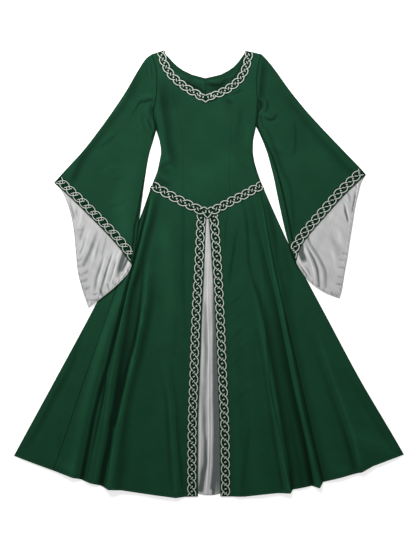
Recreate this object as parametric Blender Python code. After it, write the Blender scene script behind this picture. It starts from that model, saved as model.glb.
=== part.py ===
"""Long embroidered gown with bell sleeves, laid flat on its back.

World frame: X to the right of someone facing the gown, Y from the hem to the neck, Z up from the surface.
The origin is on the surface, at the centre of the gown's footprint.

The gown is drawn as a pattern cutter measures it: "across" is millimetres to the right of the centre front,
"down" is millimetres below the top of the shoulder. Left and right are as seen from above. Every layer of
cloth is a wall of its own thickness, and layers lie GAP apart.
"""
import math
from collections import namedtuple

import bpy
import bmesh

MM = 0.001

# Driving dimensions, in millimetres
GOWN_LENGTH = 1502.0     # top of the shoulder to the lowest point of the hem
REACH_LEFT = 650.0       # centre front to the left corner of the hem
REACH_RIGHT = 660.0      # centre front to the right corner of the hem
CLOTH = 1.5              # crepe, as a wall
SATIN = 1.0              # satin, as a wall
BAND = 1.0               # embroidered band, as a wall
GAP = 0.3                # between pieces that touch
BAND_GAP = 0.4           # under an embroidered band

# Heights of the layers above the surface
SATIN_LOW = CLOTH + GAP
FRONT_LOW = CLOTH + GAP
FRONT_OVER_SATIN = SATIN_LOW + SATIN + GAP
TUBE_AT_ARMHOLE = FRONT_LOW + CLOTH
TUBE_OVER_SATIN = FRONT_OVER_SATIN + CLOTH

# The back: a flat pair of panels that meet at the centre-back seam
CENTRE_BACK = -7.0
BACK_NECK_DEPTH = 93.0
BACK_INSET = 0.8         # the back lies this far inside the front's side edges
BACK_HEM_CENTRE = 1484.0
BACK_HEM_DROP = 0.000343 # the back hem is a parabola that rises this much per square millimetre

# The satin inset behind the front opening
INSET_TOP = 560.0
INSET_TUCK = 38.0        # hidden under each edge of the opening
INSET_HEM = 1488.0
INSET_HEM_SAG = 6.0
SATIN_LIFT_FROM = 43.0   # the overskirt stays up on the satin this far from its edge
SATIN_LIFT_FADE = 20.0

# The sleeves lie over the side edges of the skirt
SLEEVE_LIFT = 4.2
SLEEVE_LIFT_FROM = -72.0   # across the skirt's edge, outside it
SLEEVE_LIFT_TO = -12.0
SLEEVE_LIFT_TOP = 430.0    # down
SLEEVE_LIFT_FULL = 550.0
SLEEVE_EDGE = 2.3          # plan width of the rounded fold at each side of a sleeve
BACK_POINT_REACH = 0.985   # the sleeve's back layer stops just inside the lining's edge
LINING_TUCK_ROWS = 2       # rows of the sleeve's tube that the lining runs up into
LINING_SIDE = 0.35         # share of the sleeve's outermost column that the lining keeps clear of

# Embroidered bands, and how far one scallop dips in
OPENING_BAND_WIDTH = 32.0
WAIST_BAND_WIDTH = 32.0
CUFF_BAND_WIDTH = 31.0
NECK_BAND_WIDTH = 28.0
SCALLOP_DIP = 3.2
SCALLOP_PITCH = 31.0
STEPS_PER_SCALLOP = 4
BAND_STOP = 1.6            # between the waist band and the bands that meet it
CUFF_BAND_START = 0.008    # share of the cuff's length
CUFF_BAND_CLEAR = 3.0      # from the sleeve's inner edge
CUFF_BAND_INSET = 17.6     # cuff edge to the middle of its band
WAIST_BAND_LIFT_FROM = 50.0
WAIST_BAND_LIFT_FADE = 26.0

Finish = namedtuple("Finish", "name color roughness metallic")
CREPE = Finish("green_crepe", (0.013, 0.072, 0.036, 1.0), 0.75, 0.0)
SATIN_FINISH = Finish("silver_satin", (0.55, 0.55, 0.56, 1.0), 0.32, 0.0)
EMBROIDERY = Finish("silver_embroidery", (0.30, 0.34, 0.31, 1.0), 0.5, 0.0)

# Seams and folds of the skirt, each a line from the waist to the hem. The first columns give the distance
# across at the waist and at five depths, then the hem's place; rise is how high the cloth stands there at
# the hem, and begins is the depth where that starts.
SkirtLine = namedtuple("SkirtLine", "name waist d580 d700 d900 d1100 d1300 hem hem_down rise begins steps")
LINE_DEPTHS = (580.0, 700.0, 900.0, 1100.0, 1300.0)
SKIRT_LEFT = (
    SkirtLine("side edge", -187, -234, -296, -400, -508, -617, -650, 1361, 0, 900, 4),
    SkirtLine("gore seam", -183, -228, -272, -341, -411, -479, -518, 1410, 2, 900, 3),
    SkirtLine("pleat crest", -180, -217, -250, -307, -375, -423, -452, 1434, 9, 900, 2),
    SkirtLine("pleat foot", -178, -214, -245, -295, -351, -396, -425, 1440, 2, 900, 2),
    SkirtLine("sunk crest", -176, -211.5, -242, -291, -333, -371, -393, 1453, 6, 900, 2),
    SkirtLine("sunk foot", -174, -209, -239, -284, -314, -338, -360, 1461, 1, 800, 3),
    SkirtLine("great pleat crest", -165, -188, -200, -220, -260, -308, -332, 1473, 20, 560, 3),
    SkirtLine("great pleat slope", -146, -163, -170, -186, -217, -257, -287, 1476, 9, 560, 3),
    SkirtLine("hollow", -119, -129, -133, -150, -173, -203, -227, 1486, 4, 700, 2),
    SkirtLine("swell", -79, -87, -92, -113, -133, -150, -160, 1495, 7, 800, 2),
    SkirtLine("soft ridge", -62, -67, -72, -96, -109, -114, -106, 1502, 7, 1000, 2),
    SkirtLine("band side", -43, -44, -49, -60, -68, -74, -75, 1499, 0, 560, 2),
    SkirtLine("opening", -3, -6, -10, -19, -26, -32, -32, 1498, 0, 560, 0),
)
SKIRT_RIGHT = (
    SkirtLine("opening", 3, 6, 14, 26, 34, 41, 43, 1498, 0, 560, 2),
    SkirtLine("band side", 41, 43, 51, 64, 72, 81, 82, 1498, 0, 560, 2),
    SkirtLine("soft ridge", 59, 62, 68, 81, 91, 99, 103, 1498, 4, 800, 2),
    SkirtLine("soft hollow", 76, 79, 85, 99, 109, 119, 126, 1498, 2, 800, 2),
    SkirtLine("broad swell", 99, 104, 109, 129, 143, 160, 173, 1492, 6, 700, 3),
    SkirtLine("long hollow", 133, 139, 146, 158, 173, 203, 234, 1486, 4, 700, 2),
    SkirtLine("inner pleat crest", 159, 175, 185, 191, 202, 238, 272, 1486, 13, 640, 2),
    SkirtLine("inner pleat foot", 163, 183, 196, 205, 215, 254, 288, 1474, 2, 700, 2),
    SkirtLine("between pleats", 166, 187, 202, 218, 240, 287, 321, 1468, 4, 900, 2),
    SkirtLine("outer hollow", 169, 191, 206, 232, 265, 314, 349, 1462, 3, 900, 2),
    SkirtLine("outer pleat crest", 172, 195, 210, 249, 289, 337, 376, 1468, 16, 720, 2),
    SkirtLine("gore seam", 175, 199, 222, 270, 318, 363, 398, 1449, 1.5, 900, 3),
    SkirtLine("gore middle", 177, 205, 237, 297, 348, 408, 445, 1435, 5, 900, 3),
    SkirtLine("gore hollow", 179, 210, 250, 326, 407, 467, 496, 1421, 2, 900, 2),
    SkirtLine("gore crest", 180.5, 214, 256, 336, 423, 489, 517, 1416, 9, 1000, 2),
    SkirtLine("gore slope", 181.8, 219, 264, 353, 445, 526, 556, 1395, 5, 1000, 3),
    SkirtLine("near side", 182.8, 226, 274, 373, 475, 576, 610, 1375, 3, 900, 3),
    SkirtLine("side edge", 183.7, 240, 297, 402.5, 509.5, 627, 660, 1357, 0, 900, 0),
)
LEFT_GORE_SEAM = 1         # index of the gore seam in SKIRT_LEFT
RIGHT_GORE_SEAM = 11       # and in SKIRT_RIGHT
SKIRT_ROWS = (0.0, 0.05, 0.12, 0.22, 0.34, 0.46, 0.58, 0.70, 0.82, 0.92, 1.0)

# The pointed waist seam, left to right: across, down
WAIST_SEAM = ((-187, 451.5), (-150, 473), (-124, 487.5), (-97, 501.5), (-70, 515), (-43, 528), (-15, 540.5),
              (0, 547), (15, 540), (38, 529), (65, 515), (91, 501), (119, 487.5), (146, 472), (184, 452))

# Sections of the bodice front. Outer is the shoulder tip, armhole and side seam; inner is the neck edge and
# then the princess seam, which starts at row NECK_ROWS.
BodiceRow = namedtuple("BodiceRow", "place outer outer_down inner inner_down")
BODICE_LEFT = (
    BodiceRow("shoulder", -188, 13, -146, 0),
    BodiceRow("shoulder blade", -180, 35, -135, 29),
    BodiceRow("upper armhole", -172, 66, -123, 54),
    BodiceRow("neck and princess seam", -170, 96, -109, 74),
    BodiceRow("armhole", -171, 136, -118, 113),
    BodiceRow("armhole", -176, 176, -116, 153),
    BodiceRow("bust", -182, 213, -104, 197),
    BodiceRow("underarm", -172, 268, -90, 250),
    BodiceRow("side", -161, 306, -84, 301),
    BodiceRow("waist", -156.5, 340, -81, 340),
    BodiceRow("side", -161, 370, -81, 395),
    BodiceRow("hip", -170, 408, -81, 449),
    BodiceRow("waist seam", -187, 451.5, -81, 509.5),
)
BODICE_RIGHT = (
    BodiceRow("shoulder", 182, 13, 128, 1),
    BodiceRow("shoulder blade", 175, 35, 120, 32),
    BodiceRow("upper armhole", 168, 66, 112, 59),
    BodiceRow("neck and princess seam", 165, 96, 101, 81),
    BodiceRow("armhole", 166, 136, 109, 116),
    BodiceRow("armhole", 170, 176, 103, 153),
    BodiceRow("bust", 171, 213, 89, 197),
    BodiceRow("underarm", 163, 256, 80, 247),
    BodiceRow("side", 153.5, 306, 78, 301),
    BodiceRow("waist", 152.5, 336, 77, 338),
    BodiceRow("side", 157, 370, 76, 395),
    BodiceRow("hip", 168.5, 408, 76, 449),
    BodiceRow("waist seam", 184, 452, 79, 507.5),
)
NECK_ROWS = 3
ARMHOLE_ROWS = 7
CENTRE_COLUMNS = (-62, -43, -23, -3, 3, 22, 41, 59)   # at the waist seam, where the skirt has its own
FRONT_NECK = ((-109, 74), (-92, 92), (-69, 111), (-39, 131), (-7, 150), (25, 137), (55, 122), (79, 103),
              (101, 81))
BACK_NECK = ((-150, 1), (-140, 13), (-115, 40), (-100, 54), (-81, 67), (-52, 81), (44, 81), (71, 67), (89, 54),
             (102, 40), (122, 13), (128, 1))

# Soft swells of the bodice front: centre, half widths, rise
Swell = namedtuple("Swell", "across down half_across half_down rise")
BUST_SWELLS = (Swell(-86, 236, 60, 95, 5.0), Swell(84, 236, 60, 95, 5.0), Swell(-20, 400, 75, 90, 2.5))

# Outlines of the sleeves: across, down. Point is the edge of the long back point, one place per column of
# cloth from the outer corner of the cuff to its inner corner.
Sleeve = namedtuple("Sleeve", "side outer inner cuff point folds satin_folds")
Fold = namedtuple("Fold", "across down to_across to_down half_width rise")
SatinFold = namedtuple("SatinFold", "share rise")
SLEEVE_LEFT = Sleeve(
    side=-1,
    outer=((-188, 13), (-206, 27), (-233, 67), (-272, 134), (-317, 202), (-365, 269), (-417, 336), (-478, 403),
           (-515, 444)),
    inner=((-172, 268), (-184, 309), (-196, 349), (-210, 430), (-221, 511), (-231, 586), (-237, 628),
           (-242, 670), (-253, 719)),
    cuff=((-515, 444), (-457, 496), (-405, 547), (-328, 626), (-291, 669), (-272, 696), (-253, 719)),
    point=((-515, 444), (-490, 471), (-471, 513), (-457, 560), (-448, 612), (-442, 680), (-436, 740),
           (-422, 798), (-399, 864), (-370, 843), (-343, 822), (-317, 801), (-290, 776), (-264, 746),
           (-253, 719)),
    folds=(Fold(-186, 160, -262, 330, 24, 4.0), Fold(-235, 395, -330, 432, 22, 3.0)),
    satin_folds=(SatinFold(0.0, 0), SatinFold(0.14, 1.0), SatinFold(0.24, 3.5), SatinFold(0.33, 0.8),
                 SatinFold(0.41, 4.5), SatinFold(0.50, 1.0), SatinFold(0.58, 4.0), SatinFold(0.66, 0.5),
                 SatinFold(0.73, 5.0), SatinFold(0.82, 0.5), SatinFold(0.90, 3.5), SatinFold(1.0, 0)),
)
SLEEVE_RIGHT = Sleeve(
    side=1,
    outer=((182, 13), (202, 34), (228, 67), (276, 134), (331, 202), (392, 269), (456, 336), (520, 403),
           (532, 417)),
    inner=((163, 256), (179, 289), (202, 349), (213, 390), (223, 430), (231, 470), (248, 551), (257, 591),
           (267, 632), (281, 675), (296, 711)),
    cuff=((532, 417), (486, 459), (459, 485), (398, 553), (342, 617), (318, 649), (305, 671), (296, 711)),
    point=((532, 417), (516, 445), (505, 487), (495, 533), (487, 585), (479, 635), (470, 695), (460, 750),
           (451, 806), (443, 833), (399, 816), (365, 795), (336, 771), (314, 741), (296, 711)),
    folds=(Fold(200, 330, 300, 372, 22, 3.0),),
    satin_folds=(SatinFold(0.0, 0), SatinFold(0.15, 2.0), SatinFold(0.28, 0.8), SatinFold(0.42, 2.5),
                 SatinFold(0.55, 0.8), SatinFold(0.66, 4.5), SatinFold(0.74, 0.8), SatinFold(0.82, 4.5),
                 SatinFold(0.90, 0.5), SatinFold(0.95, 2.5), SatinFold(1.0, 0)),
)
SLEEVE_COLUMNS = 14
SLEEVE_ROWS = 12
POINT_ROWS = 5

# Satin folds of the inset, as shares of the opening's width
INSET_FOLDS = (SatinFold(0.0, 0), SatinFold(0.14, 3.5), SatinFold(0.38, 0.3), SatinFold(0.56, 4.0),
               SatinFold(0.80, 0.3), SatinFold(1.0, 0))
INSET_ROWS = 10

# Middle lines of the flat embroidered bands: across, down
NECK_BAND = ((-157, 4), (-151, 27), (-139, 55), (-123, 81), (-101, 103), (-78, 121), (-52, 138), (-25, 152),
             (-7, 162), (7, 157), (29, 147), (56, 134), (83, 117), (106, 96), (122, 69), (133, 34),
             (139, 5))
OPENING_BAND_LEFT = ((-22, 560), (-28, 700), (-39, 900), (-46, 1100), (-52, 1300), (-53, 1494))
OPENING_BAND_RIGHT = ((22, 560), (32, 700), (43, 900), (51, 1100), (59, 1300), (61, 1494))


def smoothstep(share):
    """0 below 0, 1 above 1, and a soft S between."""
    share = min(1.0, max(0.0, share))
    return share * share * (3.0 - 2.0 * share)


def mix(low, high, share):
    """The value a share of the way from low to high."""
    return low + (high - low) * share


def mix_point(first, second, share):
    """The plan point a share of the way from the first to the second."""
    return (mix(first[0], second[0], share), mix(first[1], second[1], share))


def through(knots, values, at):
    """Value at a place on the smooth curve through the knots, straight beyond its ends."""
    spans = [knots[i + 1] - knots[i] for i in range(len(knots) - 1)]
    slopes = [(values[i + 1] - values[i]) / spans[i] for i in range(len(spans))]
    if at <= knots[0]:
        return values[0] + slopes[0] * (at - knots[0])
    if at >= knots[-1]:
        return values[-1] + slopes[-1] * (at - knots[-1])

    def tangent(index):
        """Slope at a knot, flat where the curve turns back, so that it never overshoots."""
        if index == 0 or index == len(spans):
            return slopes[min(index, len(spans) - 1)]
        before, after = slopes[index - 1], slopes[index]
        if before * after <= 0.0:
            return 0.0
        return 2.0 * before * after / (before + after)

    here = max(i for i in range(len(spans)) if knots[i] <= at)
    t = (at - knots[here]) / spans[here]
    rise = spans[here]
    return ((1 + 2 * t) * (1 - t) ** 2 * values[here] + t * (1 - t) ** 2 * rise * tangent(here)
            + t * t * (3 - 2 * t) * values[here + 1] - t * t * (1 - t) * rise * tangent(here + 1))


def lengths_along(points):
    """Distance along a run of plan points to each of them."""
    total = [0.0]
    for first, second in zip(points, points[1:]):
        total.append(total[-1] + math.dist(first, second))
    return total


def along(points, share):
    """Plan point a share of the way along the smooth curve through the points."""
    lengths = lengths_along(points)
    at = share * lengths[-1]
    return (through(lengths, [p[0] for p in points], at), through(lengths, [p[1] for p in points], at))


def on_polyline(points, share):
    """Plan point a share of the way through the points, by number of points and with straight runs."""
    place = share * (len(points) - 1)
    index = min(int(place), len(points) - 2)
    return mix_point(points[index], points[index + 1], place - index)


def world(across, down, height):
    """Pattern millimetres to world metres."""
    middle = (REACH_RIGHT - REACH_LEFT) / 2
    return ((across - middle) * MM, (GOWN_LENGTH / 2 - down) * MM, height * MM)


def waist_down(across):
    """Depth of the waist seam."""
    return through([p[0] for p in WAIST_SEAM], [p[1] for p in WAIST_SEAM], across)


def line_across(line, down):
    """Distance across of one of the skirt's lines at a depth."""
    knots = [waist_down(line.waist), *LINE_DEPTHS, line.hem_down]
    values = [line.waist, line.d580, line.d700, line.d900, line.d1100, line.d1300, line.hem]
    return through(knots, values, down)


def line_rise(line, down):
    """Height of the cloth on one of the skirt's lines at a depth."""
    return line.rise * smoothstep(0.15 + 0.85 * (down - line.begins) / (line.hem_down - line.begins)) \
        if down > line.begins else 0.0


def skirt_rise(lines, across, down):
    """Height of the folds: soft from each line to the next."""
    places = [line_across(line, down) for line in lines]
    index = max([i for i in range(len(lines) - 1) if places[i] <= across], default=0)
    share = (across - places[index]) / (places[index + 1] - places[index])
    return mix(line_rise(lines[index], down), line_rise(lines[index + 1], down), smoothstep(share))


def satin_lift(across, down):
    """How far the overskirt is lifted by the satin inset under its edge."""
    left = line_across(SKIRT_LEFT[-1], down)
    right = line_across(SKIRT_RIGHT[0], down)
    distance = left - across if across < (left + right) / 2 else across - right
    lift = FRONT_OVER_SATIN - FRONT_LOW
    return lift * (1.0 - smoothstep((distance - SATIN_LIFT_FROM) / SATIN_LIFT_FADE))


def sleeve_lift(side, across, down):
    """How far a sleeve is lifted by the edge of the skirt that it lies on."""
    edge = SKIRT_LEFT[0] if side < 0 else SKIRT_RIGHT[-1]
    inside = (line_across(edge, max(down, SLEEVE_LIFT_TOP)) - across) * side
    reach = smoothstep((inside - SLEEVE_LIFT_FROM) / (SLEEVE_LIFT_TO - SLEEVE_LIFT_FROM))
    return SLEEVE_LIFT * reach * smoothstep((down - SLEEVE_LIFT_TOP) / (SLEEVE_LIFT_FULL - SLEEVE_LIFT_TOP))


def bodice_rise(across, down):
    """Height of the bodice front's soft swells."""
    total = 0.0
    for swell in BUST_SWELLS:
        reach = math.hypot((across - swell.across) / swell.half_across, (down - swell.down) / swell.half_down)
        total += swell.rise * (1.0 - smoothstep(reach))
    return total


def fold_rise(folds, across, down):
    """Height of the soft diagonal folds in a sleeve."""
    total = 0.0
    for fold in folds:
        run = (fold.to_across - fold.across, fold.to_down - fold.down)
        length = math.hypot(*run)
        offset = (across - fold.across, down - fold.down)
        share = (offset[0] * run[0] + offset[1] * run[1]) / length ** 2
        aside = abs(offset[0] * run[1] - offset[1] * run[0]) / length
        ends = smoothstep(4.0 * share) * smoothstep(4.0 * (1.0 - share))
        total += fold.rise * ends * (1.0 - smoothstep(aside / fold.half_width))
    return total


def satin_rise(folds, share):
    """Height of the satin's folds at a share of its width, at full strength."""
    index = max(i for i in range(len(folds) - 1) if folds[i].share <= max(share, 0.0))
    first, second = folds[index], folds[index + 1]
    return mix(first.rise, second.rise, smoothstep((share - first.share) / (second.share - first.share)))


def make_material(finish):
    """A Principled material for one finish, made once."""
    material = bpy.data.materials.get(finish.name)
    if material is None:
        material = bpy.data.materials.new(finish.name)
        material.use_nodes = True
        shader = material.node_tree.nodes["Principled BSDF"]
        shader.inputs["Base Color"].default_value = finish.color
        shader.inputs["Roughness"].default_value = finish.roughness
        shader.inputs["Metallic"].default_value = finish.metallic
        material.diffuse_color = finish.color
    return material


def add_object(name, data, finish, collection):
    """Puts mesh or curve data in the scene as one named piece."""
    data.materials.append(make_material(finish))
    piece = bpy.data.objects.new(name, data)
    collection.objects.link(piece)
    return piece


def close_wall(name, outer, inner, faces, finish, collection):
    """A closed wall between two skins that share the same faces, with its rim filled in."""
    count = len(outer)
    uses = {}
    for face in faces:
        for first, second in zip(face, face[1:] + face[:1]):
            uses[(first, second)] = uses.get((first, second), 0) + 1
    rim = [edge for edge in uses if (edge[1], edge[0]) not in uses]
    skins = [tuple(face) for face in faces]
    skins += [tuple(index + count for index in reversed(face)) for face in faces]
    skins += [(second, first, first + count, second + count) for first, second in rim]
    mesh = bpy.data.meshes.new(name)
    mesh.from_pydata([world(*point) for point in outer + inner], [], skins)
    body = bmesh.new()
    body.from_mesh(mesh)
    bmesh.ops.recalc_face_normals(body, faces=body.faces)
    body.to_mesh(mesh)
    body.free()
    return add_object(name, mesh, finish, collection)


def sheet_faces(rows):
    """Plan points and faces of a sheet given as rows, with points that coincide made one."""
    points, numbers, table = [], {}, []
    for row in rows:
        line = []
        for point in row:
            key = (round(point[0], 3), round(point[1], 3))
            if key not in numbers:
                numbers[key] = len(points)
                points.append(point)
            line.append(numbers[key])
        table.append(line)
    faces = []
    for upper, lower in zip(table, table[1:]):
        for column in range(len(upper) - 1):
            corners = [upper[column], lower[column], lower[column + 1], upper[column + 1]]
            face = [c for i, c in enumerate(corners) if c not in corners[:i]]
            if len(face) > 2:
                faces.append(face)
    return points, faces


def cloth_wall(name, rows, underside, thickness, finish, collection):
    """A sheet of cloth as a closed wall, thicker upright where it slopes so that the cloth keeps its own."""
    points, faces = sheet_faces(rows)
    low, high = [], []
    for across, down in points:
        base = underside(across, down)
        slope = (underside(across + 1.0, down) - underside(across - 1.0, down)) / 2.0
        low.append((across, down, base))
        high.append((across, down, base + thickness * min(1.8, math.hypot(1.0, slope))))
    return close_wall(name, high, low, faces, finish, collection)


def flat_piece(name, outline, low, thickness, finish, collection):
    """A flat piece: a filled 2D outline, extruded to its thickness."""
    curve = bpy.data.curves.new(name, "CURVE")
    curve.dimensions = "2D"
    curve.fill_mode = "BOTH"
    curve.extrude = thickness * MM / 2
    spline = curve.splines.new("POLY")
    spline.points.add(len(outline) - 1)
    for place, (across, down) in zip(spline.points, outline):
        x, y, _ = world(across, down, 0.0)
        place.co = (x, y, 0.0, 1.0)
    spline.use_cyclic_u = True
    piece = add_object(name, curve, finish, collection)
    piece.location.z = (low + thickness / 2) * MM
    return piece


def scalloped_edges(middle, width):
    """The two edges of a band: scallops that alternate from one side to the other."""
    total = lengths_along(middle)[-1]
    scallops = max(1, round(total / SCALLOP_PITCH))
    steps = scallops * STEPS_PER_SCALLOP
    left, right = [], []
    for step in range(steps + 1):
        here = along(middle, step / steps)
        ahead = along(middle, min(1.0, (step + 0.5) / steps))
        behind = along(middle, max(0.0, (step - 0.5) / steps))
        run = (ahead[0] - behind[0], ahead[1] - behind[1])
        length = math.hypot(*run)
        turn = math.pi * step / STEPS_PER_SCALLOP
        for edge, sign, wave in ((left, 1, abs(math.sin(turn))), (right, -1, abs(math.cos(turn)))):
            reach = sign * (width / 2 - SCALLOP_DIP * (1.0 - wave)) / length
            edge.append((here[0] + run[1] * reach, here[1] - run[0] * reach))
    return left, right


def skirt_rows(lines, first, last, gap_first, gap_last):
    """Plan rows of the skirt panel between two of its lines, with half a seam gap at either side."""
    columns = [(index, step / lines[index].steps) for index in range(first, last)
               for step in range(lines[index].steps)] + [(last - 1, 1.0)]
    rows = []
    for share in SKIRT_ROWS:
        row = []
        for index, part in columns:
            left, right = lines[index], lines[index + 1]
            top = waist_down(mix(left.waist, right.waist, part)) + GAP / 2
            down = mix(top, mix(left.hem_down, right.hem_down, part), share)
            row.append([mix(line_across(left, down), line_across(right, down), part), down])
        row[0][0] += gap_first
        row[-1][0] -= gap_last
        rows.append([tuple(point) for point in row])
    return rows


def build_skirt(collection):
    """The four skirt panels, cut apart at the opening and at the gore seams."""
    panels = (
        ("skirt_side_left", SKIRT_LEFT, 0, LEFT_GORE_SEAM, 0.0, GAP / 2),
        ("skirt_front_left", SKIRT_LEFT, LEFT_GORE_SEAM, len(SKIRT_LEFT) - 1, GAP / 2, 0.0),
        ("skirt_front_right", SKIRT_RIGHT, 0, RIGHT_GORE_SEAM, 0.0, GAP / 2),
        ("skirt_side_right", SKIRT_RIGHT, RIGHT_GORE_SEAM, len(SKIRT_RIGHT) - 1, GAP / 2, 0.0),
    )
    for name, lines, first, last, gap_first, gap_last in panels:
        def underside(across, down, lines=lines):
            """Height of the panel's lower face."""
            return FRONT_LOW + satin_lift(across, down) + skirt_rise(lines, across, down)

        rows = skirt_rows(lines, first, last, gap_first, gap_last)
        cloth_wall(name, rows, underside, CLOTH, CREPE, collection)


def build_inset(collection):
    """The satin panel behind the opening, tucked under both edges."""
    shares = [fold.share for fold in INSET_FOLDS]
    shares = sorted(shares + [(a + b) / 2 for a, b in zip(shares, shares[1:])])
    rows = []
    for step in range(INSET_ROWS + 1):
        row = []
        for share in [None, *shares, None]:
            hem = INSET_HEM + INSET_HEM_SAG * (1.0 - (2.0 * share - 1.0) ** 2 if share is not None else 0.0)
            down = mix(INSET_TOP, hem, step / INSET_ROWS)
            left = line_across(SKIRT_LEFT[-1], down)
            right = line_across(SKIRT_RIGHT[0], down)
            row.append((left - INSET_TUCK if share is None else mix(left, right, share), down))
        row[-1] = (line_across(SKIRT_RIGHT[0], row[-1][1]) + INSET_TUCK, row[-1][1])
        rows.append(row)

    def underside(across, down):
        """Height of the satin's lower face."""
        left = line_across(SKIRT_LEFT[-1], down)
        right = line_across(SKIRT_RIGHT[0], down)
        share = (across - left) / (right - left)
        if share <= 0.0 or share >= 1.0:
            return SATIN_LOW
        strength = smoothstep((down - INSET_TOP) / (INSET_HEM - INSET_TOP))
        return SATIN_LOW + strength * satin_rise(INSET_FOLDS, share)

    cloth_wall("skirt_inset", rows, underside, SATIN, SATIN_FINISH, collection)


def build_bodice(collection):
    """The two side fronts and the centre front, 0.3 mm apart at the princess seams."""
    def underside(across, down):
        """Height of the bodice front's lower face."""
        return FRONT_LOW + bodice_rise(across, down)

    for name, table, side in (("bodice_front_side_left", BODICE_LEFT, -1),
                              ("bodice_front_side_right", BODICE_RIGHT, 1)):
        rows = []
        for section in table:
            outer = (section.outer, section.outer_down)
            inner = (section.inner + side * GAP / 2, section.inner_down)
            row = [mix_point(outer, inner, share / 5) for share in range(6)]
            if section is table[-1]:
                row = [(across, waist_down(across) - GAP / 2) for across, _ in row]
            rows.append(row if side < 0 else row[::-1])
        cloth_wall(name, rows, underside, CLOTH, CREPE, collection)

    rows = []
    pairs = list(zip(BODICE_LEFT, BODICE_RIGHT))[NECK_ROWS:]
    first, last = BODICE_LEFT[-1].inner, BODICE_RIGHT[-1].inner
    shares = [0.0, *((across - first) / (last - first) for across in CENTRE_COLUMNS), 1.0]
    for number, (left, right) in enumerate(pairs):
        share_down = number / (len(pairs) - 1)
        waist = GAP / 2 if number == len(pairs) - 1 else 0.0
        row = []
        for share in shares:
            across = mix(left.inner + GAP / 2, right.inner - GAP / 2, share)
            chord = mix(left.inner_down, right.inner_down, share)
            neck = through([p[0] for p in FRONT_NECK], [p[1] for p in FRONT_NECK], across)
            neck -= mix(BODICE_LEFT[NECK_ROWS].inner_down, BODICE_RIGHT[NECK_ROWS].inner_down, share)
            point = waist_down(across)
            point -= mix(BODICE_LEFT[-1].inner_down, BODICE_RIGHT[-1].inner_down, share)
            inside = 0.0 if share in (0.0, 1.0) else 1.0
            bend = neck * (1.0 - share_down) ** 2 + point * share_down ** 2
            row.append((across, chord + inside * bend - waist))
        rows.append(row)
    cloth_wall("bodice_front_centre", rows, underside, CLOTH, CREPE, collection)


def build_back(collection):
    """The two flat back panels, which the whole gown rests on."""
    for name, side, table, lines in (("back_left", -1, BODICE_LEFT, SKIRT_LEFT),
                                     ("back_right", 1, BODICE_RIGHT, SKIRT_RIGHT)):
        seam = CENTRE_BACK + side * GAP / 2
        edge = lines[0] if side < 0 else lines[-1]
        neck = [p for p in BACK_NECK if (p[0] - seam) * side > 0.0]
        neck = sorted(neck, key=lambda p: -abs(p[0] - seam))
        outline = [*neck, (seam, BACK_NECK_DEPTH)]
        corner = edge.hem - side * BACK_INSET * 4
        for step in range(13):
            across = mix(seam, corner, step / 12)
            outline.append((across, BACK_HEM_CENTRE - BACK_HEM_DROP * across ** 2))
        lowest = outline[-1][1]
        for share in reversed(SKIRT_ROWS[:-1]):
            down = mix(waist_down(edge.waist), lowest, share)
            outline.append((line_across(edge, down) - side * BACK_INSET, down))
        for section in reversed(table[ARMHOLE_ROWS + 1:-1]):
            outline.append((section.outer - side * BACK_INSET, section.outer_down))
        for section in reversed(table[:ARMHOLE_ROWS + 1]):
            outline.append((section.outer, section.outer_down))
        flat_piece(name, outline, 0.0, CLOTH, CREPE, collection)


def sleeve_point(sleeve, table, share_across, share_down):
    """Plan point of a sleeve: share_across from its outer fold to its inner edge, share_down to the cuff."""
    armhole = [(row.outer + sleeve.side * GAP, row.outer_down) for row in table[:ARMHOLE_ROWS + 1]]
    top = on_polyline(armhole, share_across)
    cuff = along(sleeve.cuff, share_across)
    outer = along(sleeve.outer, share_down)
    inner = along(sleeve.inner, share_down)
    corners = mix_point(mix_point(armhole[0], armhole[-1], share_across),
                        mix_point(sleeve.cuff[0], sleeve.cuff[-1], share_across), share_down)
    ends = mix_point(top, cuff, share_down)
    sides = mix_point(outer, inner, share_across)
    sides_at_top = mix_point(sleeve.outer[0], sleeve.inner[0], share_across)
    fix = mix_point(sides_at_top, mix_point(armhole[0], armhole[-1], share_across), 1.0 - share_down)
    shift = ((fix[0] - sides_at_top[0]) * (1.0 - share_down), (fix[1] - sides_at_top[1]) * (1.0 - share_down))
    return (ends[0] + sides[0] - corners[0] + shift[0], ends[1] + sides[1] - corners[1] + shift[1])


def point_reach(sleeve, share_across, share_down):
    """Plan point beyond the cuff, on the long back point of a sleeve."""
    return mix_point(along(sleeve.cuff, share_across), on_polyline(sleeve.point, share_across), share_down)


def toward(point, target, distance):
    """A plan point moved some way towards another."""
    return mix_point(point, target, distance / math.dist(point, target))


def with_middles(row):
    """A row of points with the middle of each gap added."""
    filled = [row[0]]
    for first, second in zip(row, row[1:]):
        filled += [tuple((a + b) / 2 for a, b in zip(first, second)), second]
    return filled


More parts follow.
